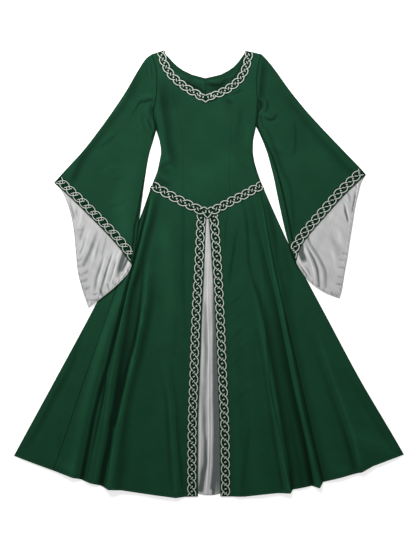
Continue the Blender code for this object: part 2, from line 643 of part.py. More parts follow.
def sleeve_skin(sleeve, table, inset):
    """One skin of a sleeve's tube: its outside for inset 0, and its inside for inset CLOTH.

    Each ring of the tube runs from the outer fold over the front to the inner edge and back underneath. The
    back half goes on past the cuff to the long point.
    """
    shares = [column / SLEEVE_COLUMNS for column in range(SLEEVE_COLUMNS + 1)]
    points = []
    for row in range(SLEEVE_ROWS + 1):
        share_down = row / SLEEVE_ROWS
        tube = mix(TUBE_AT_ARMHOLE, TUBE_OVER_SATIN, smoothstep(share_down * 6.0))
        plan = [sleeve_point(sleeve, table, share, share_down) for share in shares]
        outer_fold = toward(plan[0], plan[1], inset)
        inner_fold = toward(plan[-1], plan[-2], inset)
        plan[0] = toward(plan[0], plan[1], SLEEVE_EDGE + inset / 3)
        plan[-1] = toward(plan[-1], plan[-2], SLEEVE_EDGE + inset / 3)
        ring = [(*outer_fold, tube / 2)]
        ring += [(*place, tube - inset + fold_rise(sleeve.folds, *place)) for place in plan]
        ring += [(*inner_fold, tube / 2)]
        ring += [(*place, inset) for place in reversed(plan)]
        points += [(x, y, z + sleeve_lift(sleeve.side, x, y)) for x, y, z in ring]
    for row in range(1, POINT_ROWS + 1):
        share_down = BACK_POINT_REACH * row / POINT_ROWS
        for share in shares[1:-1]:
            place = point_reach(sleeve, share, share_down)
            points.append((*place, inset + sleeve_lift(sleeve.side, *place)))
    return points


def sleeve_faces():
    """Faces of a sleeve's skin: rings of the tube, then the sheet of the back point."""
    ring = 2 * (SLEEVE_COLUMNS + 1) + 2
    faces = []
    for row in range(SLEEVE_ROWS):
        for place in range(ring):
            following = (place + 1) % ring
            faces.append([row * ring + place, (row + 1) * ring + place,
                          (row + 1) * ring + following, row * ring + following])
    last = SLEEVE_ROWS * ring
    underside = [last + ring - 1 - column for column in range(SLEEVE_COLUMNS + 1)]
    table = [underside]
    start = (SLEEVE_ROWS + 1) * ring
    for row in range(POINT_ROWS):
        first = start + row * (SLEEVE_COLUMNS - 1)
        table.append([underside[0], *range(first, first + SLEEVE_COLUMNS - 1), underside[-1]])
    for upper, lower in zip(table, table[1:]):
        for column in range(SLEEVE_COLUMNS):
            corners = [upper[column], upper[column + 1], lower[column + 1], lower[column]]
            face = [c for i, c in enumerate(corners) if c not in corners[:i]]
            faces.append(face)
    return faces


def build_sleeve(name, sleeve, table, collection):
    """A bell sleeve and the satin that lines its long point."""
    outside = sleeve_skin(sleeve, table, 0.0)
    inside = sleeve_skin(sleeve, table, CLOTH)
    close_wall("sleeve_" + name, outside, inside, sleeve_faces(), CREPE, collection)

    tucked = [step / SLEEVE_ROWS for step in range(SLEEVE_ROWS - LINING_TUCK_ROWS, SLEEVE_ROWS)]
    beyond = [BACK_POINT_REACH * row / POINT_ROWS for row in range(POINT_ROWS + 1)] + [1.0]
    shares = [column / SLEEVE_COLUMNS for column in range(SLEEVE_COLUMNS + 1)]
    rows = []
    for share_down in tucked:
        row = [sleeve_point(sleeve, table, share, share_down) for share in shares]
        row[0] = mix_point(row[0], row[1], LINING_SIDE)
        row[-1] = mix_point(row[-1], row[-2], LINING_SIDE)
        rows.append(with_middles([(*place, sleeve_lift(sleeve.side, *place)) for place in row]))
    cuff = [point_reach(sleeve, share, 0.0) for share in shares]
    corners = (mix_point(cuff[0], cuff[1], LINING_SIDE), mix_point(cuff[-1], cuff[-2], LINING_SIDE))
    for share_down in beyond:
        row = [point_reach(sleeve, share, share_down) for share in shares]
        row[0], row[-1] = corners
        row = with_middles([(*place, sleeve_lift(sleeve.side, *place)) for place in row])
        strength = smoothstep(1.6 * share_down) * (1.0 - 0.5 * smoothstep(share_down * 3.0 - 2.0))
        for number in range(1, len(row) - 1):
            across, down, height = row[number]
            fold = strength * satin_rise(sleeve.satin_folds, number / (len(row) - 1))
            row[number] = (across, down, height + fold)
        rows.append(row)
    points, faces = sheet_faces(rows)
    low = [(across, down, height + SATIN_LOW) for across, down, height in points]
    high = [(across, down, height + SATIN) for across, down, height in low]
    close_wall("sleeve_lining_" + name, high, low, faces, SATIN_FINISH, collection)


def build_flat_bands(collection):
    """The bands at the neck and down both edges of the opening, which stop at the waist band."""
    left, right = scalloped_edges(NECK_BAND, NECK_BAND_WIDTH)
    flat_piece("trim_neck", left + right[::-1], FRONT_LOW + CLOTH + BAND_GAP, BAND, EMBROIDERY, collection)
    waist_edge = scalloped_edges(WAIST_SEAM, WAIST_BAND_WIDTH)[1]
    for name, middle in (("trim_opening_left", OPENING_BAND_LEFT), ("trim_opening_right", OPENING_BAND_RIGHT)):
        left, right = scalloped_edges(middle, OPENING_BAND_WIDTH)
        top = []
        for step in range(5):
            across = mix(right[0][0], left[0][0], step / 4)
            stop = through([p[0] for p in waist_edge], [p[1] for p in waist_edge], across)
            top.append((across, stop + BAND_STOP))
        low = FRONT_OVER_SATIN + CLOTH + BAND_GAP
        flat_piece(name, left[1:] + right[:0:-1] + top, low, BAND, EMBROIDERY, collection)


def stop_at_inner_edge(sleeve, edge):
    """An edge of a cuff band, held back at the sleeve's inner edge."""
    kept = []
    for across, down in edge:
        inner = through([p[1] for p in sleeve.inner], [p[0] for p in sleeve.inner], down)
        if (across - inner) * sleeve.side < CUFF_BAND_CLEAR:
            across, down = kept[-1]
        kept.append((across, down))
    return kept


def build_draped_bands(collection):
    """The bands that follow a surface: over the waist seam and round the cuffs."""
    def waist_low(across, _down):
        """Height under the waist band, which steps up over the satin."""
        lift = (FRONT_OVER_SATIN - FRONT_LOW) * (
            1.0 - smoothstep((abs(across) - WAIST_BAND_LIFT_FROM) / WAIST_BAND_LIFT_FADE))
        return FRONT_LOW + CLOTH + BAND_GAP + lift

    left, right = scalloped_edges(WAIST_SEAM, WAIST_BAND_WIDTH)
    cloth_wall("trim_waist", [[b, a] for a, b in zip(left, right)], waist_low, BAND, EMBROIDERY, collection)

    for name, sleeve in (("left", SLEEVE_LEFT), ("right", SLEEVE_RIGHT)):
        def cuff_low(across, down, side=sleeve.side):
            """Height under the cuff band."""
            return TUBE_OVER_SATIN + BAND_GAP + sleeve_lift(side, across, down)

        middle = []
        for step in range(13):
            share = mix(CUFF_BAND_START, 1.0, step / 12)
            here = along(sleeve.cuff, share)
            behind = along(sleeve.cuff, share - CUFF_BAND_START)
            run = (here[0] - behind[0], here[1] - behind[1])
            reach = sleeve.side * CUFF_BAND_INSET / math.hypot(*run)
            middle.append((here[0] - run[1] * reach, here[1] + run[0] * reach))
        edges = [stop_at_inner_edge(sleeve, edge) for edge in scalloped_edges(middle, CUFF_BAND_WIDTH)]
        rows = [[b, a] for a, b in zip(*edges)]
        cloth_wall("trim_cuff_" + name, rows, cuff_low, BAND, EMBROIDERY, collection)


def main():
    """Clears the scene and makes the gown."""
    for old in list(bpy.data.objects):
        bpy.data.objects.remove(old)
    collection = bpy.data.collections.new("Embroidered gown")
    bpy.context.scene.collection.children.link(collection)
    build_back(collection)
    build_bodice(collection)
    build_inset(collection)
    build_skirt(collection)
    build_sleeve("left", SLEEVE_LEFT, BODICE_LEFT, collection)
    build_sleeve("right", SLEEVE_RIGHT, BODICE_RIGHT, collection)
    build_flat_bands(collection)
    build_draped_bands(collection)


main()
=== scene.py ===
"""Looks of a long embroidered gown that lies flat on its back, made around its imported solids.

Places on the gown are in pattern millimetres, as a cutter measures: "across" is to the right of the centre
front, "down" is below the top of the shoulder and "height" is above the surface that the gown lies on. Left
and right are as seen from above. Each sheet of cloth is a thin shell on the form of the solid it replaces.
"""
from __future__ import annotations

import logging
import math
from collections.abc import Callable, Sequence
from dataclasses import dataclass, field
from enum import Enum

import bpy
import numpy as np
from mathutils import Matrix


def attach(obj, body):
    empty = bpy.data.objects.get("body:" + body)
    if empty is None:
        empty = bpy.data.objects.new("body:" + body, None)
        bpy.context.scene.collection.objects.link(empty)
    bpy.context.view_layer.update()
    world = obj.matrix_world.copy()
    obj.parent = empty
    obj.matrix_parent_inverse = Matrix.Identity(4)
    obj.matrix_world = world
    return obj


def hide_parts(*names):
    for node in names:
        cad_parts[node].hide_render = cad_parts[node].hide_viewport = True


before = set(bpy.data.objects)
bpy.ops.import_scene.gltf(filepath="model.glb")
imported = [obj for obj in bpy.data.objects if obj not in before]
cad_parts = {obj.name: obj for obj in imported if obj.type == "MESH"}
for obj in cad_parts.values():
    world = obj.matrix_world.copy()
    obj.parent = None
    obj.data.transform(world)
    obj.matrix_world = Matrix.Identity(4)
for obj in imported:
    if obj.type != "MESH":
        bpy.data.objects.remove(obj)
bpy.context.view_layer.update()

log = logging.getLogger("gown")

MM = 0.001
BODY = "root"


@dataclass(frozen=True)
class PaintedShadingRule:
    """How a sheet's painted fold shading is read: painted shade in its hollows and painted highlight on its
    crests.

    rows and columns are the reach of the average that it is compared with, depth the height that gives full
    painted shade or highlight, and slow the share of the sheet's slower rise and fall that counts.
    """

    rows: int
    columns: int
    depth: float
    slow: float


# Driving sizes of the gown, in millimetres
GOWN_LENGTH = 1502.0
REACH_LEFT = 650.0
REACH_RIGHT = 660.0
CREPE_WALL = 1.5           # height that one layer of crepe takes up as it lies
SATIN_WALL = 1.0
LAYER_GAP = 0.3
CREPE_THICK = 0.9          # the shells are nearer to the real cloth
SATIN_THICK = 0.6
BAND_THICK = 0.9
BAND_GAP = 0.3

# Where the photograph shows the gown, in its pixels
PHOTO_CENTRE = 207.5       # the centre front
PHOTO_TOP = 50.5           # the top of the shoulder
PHOTO_PIXEL = 3.36         # millimetres: the photograph shows the gown 447 pixels long

# Heights of the layers
SATIN_LOW = CREPE_WALL + LAYER_GAP
FRONT_TOP = 2 * CREPE_WALL + LAYER_GAP
FRONT_TOP_ON_SATIN = SATIN_LOW + SATIN_WALL + LAYER_GAP + CREPE_WALL
SATIN_LIFT = FRONT_TOP_ON_SATIN - FRONT_TOP
SATIN_LIFT_FROM = 43.0     # the overskirt stays up on the inset this far from its edge
SATIN_LIFT_FADE = 20.0

CENTRE_BACK = -7.0
BACK_NECK_DEPTH = 93.0
BACK_INSET = 0.8
BACK_HEM_CENTRE = 1484.0
BACK_HEM_DROP = 0.000343   # the back hem is a parabola, this much per square millimetre

INSET_TOP = 560.0
INSET_TUCK = 38.0
INSET_HEM = 1488.0
INSET_HEM_SAG = 6.0

SLEEVE_LIFT = 4.2          # the sleeves lie on the side edges of the skirt
SLEEVE_LIFT_FROM = -72.0
SLEEVE_LIFT_TO = -12.0
SLEEVE_LIFT_TOP = 430.0
SLEEVE_LIFT_FULL = 550.0
SLEEVE_EDGE = 2.3
BACK_POINT_REACH = 0.985
SKIRT_AIR = 2.6            # the cloth lies this loosely on what is under it, away from its edges
SLEEVE_AIR = 2.2
SLEEVE_AIR_LEAST = 0.8     # and this loosely at its edges

# How shade is painted into the hollows of folds and highlight onto their crests, for each kind of cloth
CREPE_PAINTED_SHADING = PaintedShadingRule(6, 8, 7.0, 0.3)
SMOOTH_PAINTED_SHADING = PaintedShadingRule(6, 8, 4.0, 0.0)
SATIN_PAINTED_SHADING = PaintedShadingRule(8, 6, 4.2, 0.5)

# Sewing
HEM_DEPTH = 8.4            # edge to the row of topstitching
HEM_EXTRA = 0.45           # a hem is two layers thick
STITCH_GROOVE = 0.5
SEAM_ROLL = 1.1            # how far the cloth rolls down into a seam
SEAM_ROLL_REACH = 3.2
EDGE_ROLL = 0.4
EDGE_ROLL_REACH = 1.6
STITCH_LENGTH = 2.6
STITCH_PITCH = 3.5
THREAD_WIDTH = 0.55

# Interlace bands
OPENING_BAND_WIDTH = 31.0
WAIST_BAND_WIDTH = 31.0
CUFF_BAND_WIDTH = 30.5
NECK_BAND_WIDTH = 27.5
SCALLOP_DIP = 3.0
PATTERN_PITCH = 30.0       # of the motif as drawn
PATTERN_HALF = 15.6        # edge of the motif as drawn
STRAND_WIDTH = 3.4
STRAND_HEIGHT = 1.5
BAND_MARGIN = 1.3          # the twill shows this much beyond the width of the solid
BAND_STOP = 1.6
CUFF_BAND_START = 0.008
WAIST_BAND_LIFT_FROM = 50.0     # the waist band is lifted by the satin this far from the centre front
WAIST_BAND_LIFT_FADE = 26.0
WAIST_BAND_CLEAR = 0.1
WAIST_SLOPE = math.radians(25)


class Side(Enum):
    """Which side of the gown, as seen from above."""

    LEFT = -1
    RIGHT = 1


@dataclass(frozen=True)
class SkirtLine:
    """A seam or fold of the skirt, from the waist to the hem.

    The d columns are its places across at five depths. rise is how high the cloth stands there at the hem,
    begins is the depth where that starts, and late says how late the height changes on the way to the next
    line.
    """

    name: str
    waist: float
    d580: float
    d700: float
    d900: float
    d1100: float
    d1300: float
    hem: float
    hem_down: float
    rise: float
    begins: float
    late: float = 1.0


@dataclass(frozen=True)
class BodiceRow:
    """A section of the bodice front: its outer place, and its place at the neck edge or princess seam."""

    name: str
    outer: float
    outer_down: float
    inner: float
    inner_down: float


@dataclass(frozen=True)
class SleeveCut:
    """Outlines of one sleeve: the fold edges, the cuff, and the edge of the long back point."""

    side: Side
    outer: tuple[tuple[float, float], ...]
    inner: tuple[tuple[float, float], ...]
    cuff: tuple[tuple[float, float], ...]
    point: tuple[tuple[float, float], ...]


@dataclass(frozen=True)
class Crease:
    """A soft ridge laid along a given line, or a trough where its rises are below 0.

    path has rows of across, down and rise. left and right are its reach on each side of the line, for someone
    who looks along it from its first place.
    """

    path: tuple[tuple[float, float, float], ...]
    left: float
    right: float


def seen(*creases: tuple[tuple[tuple[float, float, float], ...], float, float]) -> tuple[Crease, ...]:
    """Creases whose places were chosen over the photograph.

    Args:
        creases: for each, rows of pixels across, pixels down and rise in millimetres, then its reach on the
            left of the line and on the right, in millimetres.

    Returns:
        The creases, with whole pattern millimetres for their places.
    """
    found = []
    for path, left, right in creases:
        places = tuple((round((x - PHOTO_CENTRE) * PHOTO_PIXEL), round((y - PHOTO_TOP) * PHOTO_PIXEL), rise)
                       for x, y, rise in path)
        found.append(Crease(places, left, right))
    return tuple(found)


LINE_DEPTHS = (580.0, 700.0, 900.0, 1100.0, 1300.0)
SKIRT_LEFT = (
    SkirtLine("side edge", -187, -234, -296, -400, -508, -617, -650, 1361, 0, 900),
    SkirtLine("gore seam", -183, -228, -272, -341, -411, -479, -518, 1410, 2, 900),
    SkirtLine("pleat crest", -180, -217, -250, -307, -375, -423, -452, 1434, 9, 900, 0.7),
    SkirtLine("pleat foot", -178, -214, -245, -295, -351, -396, -425, 1440, 2, 900, 1.3),
    SkirtLine("sunk crest", -176, -211.5, -242, -291, -333, -371, -393, 1453, 6, 900, 0.8),
    SkirtLine("sunk foot", -174, -209, -239, -284, -314, -338, -360, 1461, 1, 800, 2.2),
    SkirtLine("great pleat crest", -165, -188, -200, -220, -260, -308, -332, 1473, 20, 560),
    SkirtLine("great pleat slope", -146, -163, -170, -186, -217, -257, -287, 1476, 9, 560),
    SkirtLine("hollow", -119, -129, -133, -150, -173, -203, -227, 1486, 4, 700),
    SkirtLine("swell", -79, -87, -92, -113, -133, -150, -160, 1495, 7, 800),
    SkirtLine("soft ridge", -62, -67, -72, -96, -109, -114, -106, 1502, 7, 1000),
    SkirtLine("band side", -43, -44, -49, -60, -68, -74, -75, 1499, 0, 560),
    SkirtLine("opening", -3, -6, -10, -19, -26, -32, -32, 1498, 0, 560),
)
SKIRT_RIGHT = (
    SkirtLine("opening", 3, 6, 14, 26, 34, 41, 43, 1498, 0, 560),
    SkirtLine("band side", 41, 43, 51, 64, 72, 81, 82, 1498, 0, 560),
    SkirtLine("soft ridge", 59, 62, 68, 81, 91, 99, 103, 1498, 4, 800),
    SkirtLine("soft hollow", 76, 79, 85, 99, 109, 119, 126, 1498, 2, 800),
    SkirtLine("broad swell", 99, 104, 109, 129, 143, 160, 173, 1492, 6, 700),
    SkirtLine("long hollow", 133, 139, 146, 158, 173, 203, 234, 1486, 4, 700, 1.3),
    SkirtLine("inner pleat crest", 159, 175, 185, 191, 204, 243, 278, 1486, 13, 640, 0.6),
    SkirtLine("inner pleat foot", 163, 183, 196, 205, 215, 254, 288, 1474, 2, 700),
    SkirtLine("between pleats", 166, 187, 202, 218, 240, 287, 321, 1468, 4, 900),
    SkirtLine("outer hollow", 169, 191, 206, 232, 265, 314, 349, 1462, 3, 900, 1.5),
    SkirtLine("outer pleat crest", 172, 195, 210, 249, 289, 337, 376, 1468, 16, 720, 0.55),
    SkirtLine("gore seam", 175, 199, 221, 264, 309, 354, 389, 1449, 1.5, 900),
    SkirtLine("gore middle", 177, 205, 237, 297, 348, 408, 445, 1435, 5, 900),
    SkirtLine("gore hollow", 179, 210, 250, 326, 407, 467, 496, 1421, 2, 900, 1.6),
    SkirtLine("gore crest", 180.5, 214, 256, 336, 423, 489, 517, 1416, 9, 1000),
    SkirtLine("gore slope", 181.8, 219, 264, 353, 445, 526, 556, 1395, 5, 1000),
    SkirtLine("near side", 182.8, 226, 274, 373, 475, 576, 610, 1375, 3, 900),
    SkirtLine("side edge", 183.7, 240, 297, 402.5, 509.5, 627, 660, 1357, 0, 900),
)
LEFT_GORE_SEAM = 1
RIGHT_GORE_SEAM = 11

WAIST_SEAM = ((-187, 451.5), (-150, 473), (-124, 487.5), (-97, 501.5), (-70, 515), (-43, 528), (-15, 540.5),
              (0, 547), (15, 540), (38, 529), (65, 515), (91, 501), (119, 487.5), (146, 472), (184, 452))

BODICE_LEFT = (
    BodiceRow("shoulder", -188, 13, -146, 0),
    BodiceRow("shoulder blade", -180, 35, -135, 29),
    BodiceRow("upper armhole", -172, 66, -123, 54),
    BodiceRow("neck and princess seam", -170, 96, -109, 74),
    BodiceRow("armhole", -171, 136, -118, 113),
    BodiceRow("armhole", -176, 176, -116, 153),
    BodiceRow("bust", -182, 213, -104, 197),
    BodiceRow("underarm", -172, 268, -90, 250),
    BodiceRow("side", -161, 306, -84, 301),
    BodiceRow("waist", -156.5, 340, -81, 340),
    BodiceRow("side", -161, 370, -81, 395),
    BodiceRow("hip", -170, 408, -81, 449),
    BodiceRow("waist seam", -187, 451.5, -81, 509.5),
)
BODICE_RIGHT = (
    BodiceRow("shoulder", 182, 13, 128, 1),
    BodiceRow("shoulder blade", 175, 35, 120, 32),
    BodiceRow("upper armhole", 168, 66, 112, 59),
    BodiceRow("neck and princess seam", 165, 96, 101, 81),
    BodiceRow("armhole", 166, 136, 109, 116),
    BodiceRow("armhole", 170, 176, 103, 153),
    BodiceRow("bust", 171, 213, 89, 197),
    BodiceRow("underarm", 163, 256, 80, 247),
    BodiceRow("side", 153.5, 306, 78, 301),
    BodiceRow("waist", 152.5, 336, 77, 338),
    BodiceRow("side", 157, 370, 76, 395),
    BodiceRow("hip", 168.5, 408, 76, 449),
    BodiceRow("waist seam", 184, 452, 79, 507.5),
)
NECK_ROWS = 3
ARMHOLE_ROWS = 7
FRONT_NECK = ((-109, 74), (-92, 92), (-69, 111), (-39, 131), (-7, 150), (25, 137), (55, 122), (79, 103),
              (101, 81))
BACK_NECK = ((-150, 1), (-140, 13), (-115, 40), (-100, 54), (-81, 67), (-52, 81), (44, 81), (71, 67),
             (89, 54), (102, 40), (122, 13), (128, 1))
BUST_SWELLS = ((-86, 236, 60, 95, 5.0), (84, 236, 60, 95, 5.0), (-20, 400, 75, 90, 2.5))

SLEEVE_LEFT = SleeveCut(
    side=Side.LEFT,
    outer=((-188, 13), (-206, 27), (-233, 67), (-272, 134), (-317, 202), (-365, 269), (-417, 336),
           (-478, 403), (-515, 444)),
    inner=((-172, 268), (-184, 309), (-196, 349), (-210, 430), (-221, 511), (-231, 586), (-237, 628),
           (-242, 670), (-253, 719)),
    cuff=((-515, 444), (-457, 496), (-405, 547), (-328, 626), (-291, 669), (-272, 696), (-253, 719)),
    point=((-515, 444), (-490, 471), (-471, 513), (-457, 560), (-448, 612), (-442, 680), (-436, 740),
           (-422, 798), (-399, 864), (-370, 843), (-343, 822), (-317, 801), (-290, 776), (-264, 746),
           (-253, 719)),
)
SLEEVE_RIGHT = SleeveCut(
    side=Side.RIGHT,
    outer=((182, 13), (202, 34), (228, 67), (276, 134), (331, 202), (392, 269), (456, 336), (520, 403),
           (532, 417)),
    inner=((163, 256), (179, 289), (202, 349), (213, 390), (223, 430), (231, 470), (248, 551), (257, 591),
           (267, 632), (281, 675), (296, 711)),
    cuff=((532, 417), (486, 459), (459, 485), (398, 553), (342, 617), (318, 649), (305, 671), (296, 711)),
    point=((532, 417), (516, 445), (505, 487), (495, 533), (487, 585), (479, 635), (470, 695), (460, 750),
           (451, 806), (443, 833), (399, 816), (365, 795), (336, 771), (314, 741), (296, 711)),
)

NECK_BAND = ((-157, 4), (-151, 27), (-139, 55), (-123, 81), (-101, 103), (-78, 121), (-52, 138), (-25, 152),
             (-7, 162), (8, 158), (30, 149), (57, 136), (84, 119), (107, 98), (124, 70), (135, 34),
             (141, 5))
OPENING_BAND_LEFT = ((-21, 548), (-28, 700), (-39, 900), (-46, 1100), (-52, 1300), (-53, 1497))
OPENING_BAND_RIGHT = ((21, 548), (32, 700), (43, 900), (51, 1100), (59, 1300), (61, 1497))

# Creases of the skirt, roughly from left to right, and last the soft drags beside the right band. Each shapes
# the cloth and also paints shade into its troughs and highlight onto its ridges
SKIRT_CREASES = seen(
    (((80, 330, -0.8), (73, 360, -1.8), (52.3, 400, -2.5), (31, 440, -1.5), (24, 450, 0)), 22, 12),
    (((128, 272, 1), (122, 292, 3), (115.5, 308, 4.2), (107.2, 330, 4.6), (97.6, 360, 3), (86.5, 400, 2),
     (77.5, 440, 1), (72, 478, 2)), 22, 26),
    # A trough that also holds the painted shadow under the left sleeve's edge
    (((149.5, 200, -3), (147.3, 208, -7), (145.2, 217, -12), (142, 230, -12), (139.5, 240, -12),
     (137.2, 250, -11), (134.7, 260, -10), (132, 270, -9), (128.2, 284, -6), (125, 296, -1)), 4, 8),
    (((128.2, 284, -3), (124.8, 300, -8), (117.4, 330, -14), (113.4, 345, -14), (109.8, 360, -12),
     (104.8, 378, -8), (100.3, 394, -4)), 4.5, 12),
    (((104.5, 374, -2), (98, 400, -6.5), (93, 421, -6), (89.2, 440, -6.5), (83.4, 471, -7.5),
     (82.2, 478, -7)), 12, 9),
    (((151, 200, 3), (148.2, 215, 5), (144.3, 230, 5), (141.6, 240, 4), (139.2, 250, 3.5), (137, 260, 2),
     (134.2, 270, 1.8), (129.6, 285, 4), (126, 300, 4.5), (119.8, 330, 5.2), (114.2, 360, 4.8),
     (110, 385, 3)), 12, 4),
    (((112, 375, 1), (108.4, 400, 3), (102.6, 440, 1.6), (96.4, 470, 2), (94.8, 482, 1.8)), 9, 6),
    (((156.5, 198, -2), (152.9, 215, -3.6), (149.5, 230, -4), (146.7, 240, -4), (144.2, 250, -4),
     (141.5, 260, -4), (138.5, 270, -4), (134.5, 285, -2)), 26, 9),
    (((138, 272, -1), (134, 285, -3.4), (131, 300, -4.4), (126.4, 330, -4), (121.4, 360, -4.8),
     (115.4, 400, -6), (111.6, 425, -5)), 18, 12),
    (((137.5, 290, -0.8), (136, 305, -1.6), (132, 330, -2), (126.4, 360, -2.8), (118.4, 400, -2.2),
     (114.4, 420, -1)), 13, 13),
    (((107, 372, -1), (105.6, 382, -5), (103, 400, -5), (98.9, 420, -4.4), (94.8, 440, -3.6),
     (90.6, 460, -2.8), (87, 478, -1.4)), 5, 8),
    (((113.5, 415, -3), (110.9, 440, -9), (104.8, 470, -12), (101.8, 487, -11)), 6, 17),
    (((144.5, 262, -0.8), (142.8, 280, -3), (141.2, 300, -4.6), (136.9, 330, -6.6), (130.2, 360, -6.8),
     (120.6, 400, -5.8), (115.2, 425, -4.2)), 3.6, 12),
    (((149.5, 260, 0.6), (147.2, 278, 2), (145.3, 300, 3), (140.3, 330, 4.8), (133.1, 360, 4.6),
     (123.4, 400, 4.2), (115.3, 440, 3.6), (109.6, 470, 2.3), (107.6, 485, 1.8)), 7, 4),
    (((152, 278, -1.2), (150.6, 300, -2.6), (145.7, 330, -3.6), (138.8, 360, -3.8), (129.3, 400, -3.8),
     (122, 440, -3.4), (117.6, 470, -2.8), (115.5, 485, -1.6)), 27, 14),
    (((128.5, 420, 0), (127, 440, -0.6), (123, 470, -1.6), (120, 487, -1)), 28, 16),
    (((183.5, 206, -1.4), (183.6, 240, -1.2), (183, 260, -1.6), (183, 285, -1.4), (184, 300, -1),
     (186, 330, -0.7), (187, 350, 0)), 14, 14),
    (((168, 216, 0.6), (166, 235, 2), (166, 255, 1.8), (170, 285, 1.4), (171, 305, 1.5), (166, 328, 1),
     (161, 350, 0)), 40, 45),
    (((158.6, 345, 0), (165.6, 372, 0.6), (170, 400, 1), (173, 440, 1.4), (175, 470, 1.3), (176.6, 494, 1)),
     6, 6),
    (((157.6, 352, 0), (161.6, 380, -0.8), (166.4, 400, -1.5), (169, 440, -2), (170.8, 470, -1.8),
     (172.6, 490, -1)), 6, 14),
    (((168.6, 355, 0), (172.4, 380, -0.8), (176, 400, -1.5), (178, 440, -2.3), (181, 470, -2.4),
     (182.6, 488, -2)), 14, 7),
    (((48, 456, 0.4), (62, 464, 1.2), (75, 470, 1.2)), 26, 30),
    (((62, 430, 0), (60, 442, -1.2), (57, 454, 0)), 8, 12),
    (((187, 337, -0.3), (178, 333, -0.5), (168, 327, 0)), 7, 10),
    (((168, 352, 0), (173, 354, -0.4), (186, 353, -0.5)), 8, 8),
    # Painted shadow along the edge of the left lining, where it lies on the skirt
    (((97.5, 302, -2), (110, 293, -4), (122, 282, -5), (129, 272, -4)), 5, 5),
    (((229, 213, 0), (226, 225, -1.4), (225, 236, -1.8), (224, 250, -0.8)), 8, 6),
    (((241, 222, 0), (236, 236, -1.2), (233, 256, -2.2), (230.5, 272, -2), (229, 290, 0)), 11, 9),
    (((243, 202, -1), (246, 215, -1.8), (247.6, 230, -2.4), (249, 260, -2.2), (251.4, 275, -1.6),
     (255.4, 290, -1)), 9, 10),
    (((254.8, 286, -1.4), (258.6, 298, -3.5), (261.4, 310, -3.5), (265.8, 330, -3), (271.5, 360, -3.4),
     (278.3, 400, -3.5), (285, 440, -3.6), (289.8, 470, -3.8), (291.6, 489, -3.8)), 23, 4.5),
    (((251, 278, 0.6), (255.4, 300, 1.2), (261.5, 330, 1.3), (267.8, 360, 2.3), (275.4, 400, 2.6),
     (282.6, 440, 2.8), (287.2, 470, 2.2), (290, 490, 2)), 5, 10),
    (((257, 330, -0.6), (263, 360, -1.6), (268.8, 400, -2.1), (274.6, 440, -2.6), (279.6, 470, -2.7),
     (282.6, 488, -2.4)), 8, 13),
    (((253, 202, -0.8), (258.5, 230, -2), (265.6, 260, -2.8), (275, 300, -3.8), (281.4, 330, -4.6),
     (287.3, 360, -4.9), (295.4, 400, -5.2), (304.4, 440, -5.8), (310.6, 470, -6.4), (313.4, 487, -6.2)), 4,
     27),
    (((262, 203, 1.2), (265.6, 230, 2.6), (271, 260, 3.6), (275, 280, 3.6), (279.8, 300, 3.5),
     (285.8, 330, 3.3), (292.2, 360, 3.4), (300.2, 400, 3.5), (309.6, 440, 3.4), (317.4, 470, 3.2),
     (320.2, 486, 3)), 8.5, 5),
    (((268, 206, -2), (273.3, 230, -3.4), (275.7, 245, -2.8), (277.2, 260, -2.4), (280.4, 276, -1.4),
     (282.4, 288, 0)), 17, 17),
    (((282, 236, -0.6), (285, 256, -1.6), (289, 272, -1.2), (294, 290, 0)), 26, 26),
    (((280, 272, -0.8), (284, 300, -2.4), (288.6, 330, -2.6), (294.2, 360, -2.7), (302, 400, -2.7),
     (311.4, 440, -2.7), (318.4, 470, -3), (321, 480, -2.8)), 42, 6),
    (((268, 310, -0.8), (275, 340, -2), (280, 365, -1.9), (286, 400, -2.3), (294, 440, -2.8), (300, 470, -3),
     (303, 488, -3)), 26, 30),
    (((317, 332, 0.4), (326, 360, 1.5), (340, 400, 1.8), (347, 420, 1.6), (354, 440, 2.2), (359, 464, 1.6)),
     15, 9),
    (((309, 332, 0), (319, 360, -1), (333, 400, -1.4), (341, 422, -2), (347, 440, -2.6), (354.4, 467, -2.4)),
     8, 18),
    (((346, 372, -0.4), (362, 400, -1.1), (375, 422, -0.9), (386, 440, -1.1), (393, 449, -0.6)), 14, 16),
    (((348, 432, 0.6), (366, 440, 1.8), (381, 446, 1.8), (393, 450, 1.2)), 46, 40),
    (((334, 468, 0.8), (345, 471, 1.6)), 30, 30),
    (((250, 424, 0), (248, 440, -1.2), (245, 470, -1.4), (243, 489, -0.8)), 12, 15),
    # Painted shadow under the tip of the right sleeve, along the skirt's edge
    (((287, 238, -2), (293, 257, -7), (299, 271, -2)), 4, 5),
    (((385, 446, 0), (393, 450, -1.2), (400, 452.5, -0.8)), 6, 6),
    (((228, 289, 0.3), (236, 281, 0.5), (245, 270, 0)), 7, 7),
    (((229, 306, -0.5), (237, 300, -1.2), (247, 290, 0)), 8, 9),
    (((228, 304, 0.4), (233, 299, 0.6), (242, 291, 0)), 7, 7),
    (((230, 324, -0.4), (240, 316, -0.6), (248, 311, 0)), 6, 7),
    (((230, 341, -0.5), (241, 331, -0.8), (250, 325, 0)), 7, 8),
    (((231, 352, 0.3), (243, 343, 0.5), (252, 337, 0)), 7, 8),
    (((231, 368, -0.5), (240, 359, -0.8), (252, 351, 0)), 7, 8),
    (((234, 384, 0.3), (245, 375, 0.4), (256, 367, 0)), 7, 8),
    (((235, 402, -0.4), (246, 393, -0.6), (260, 384, 0)), 8, 9),
    (((237, 420, -0.4), (248, 410, -0.6), (262, 402, 0)), 8, 9),
)

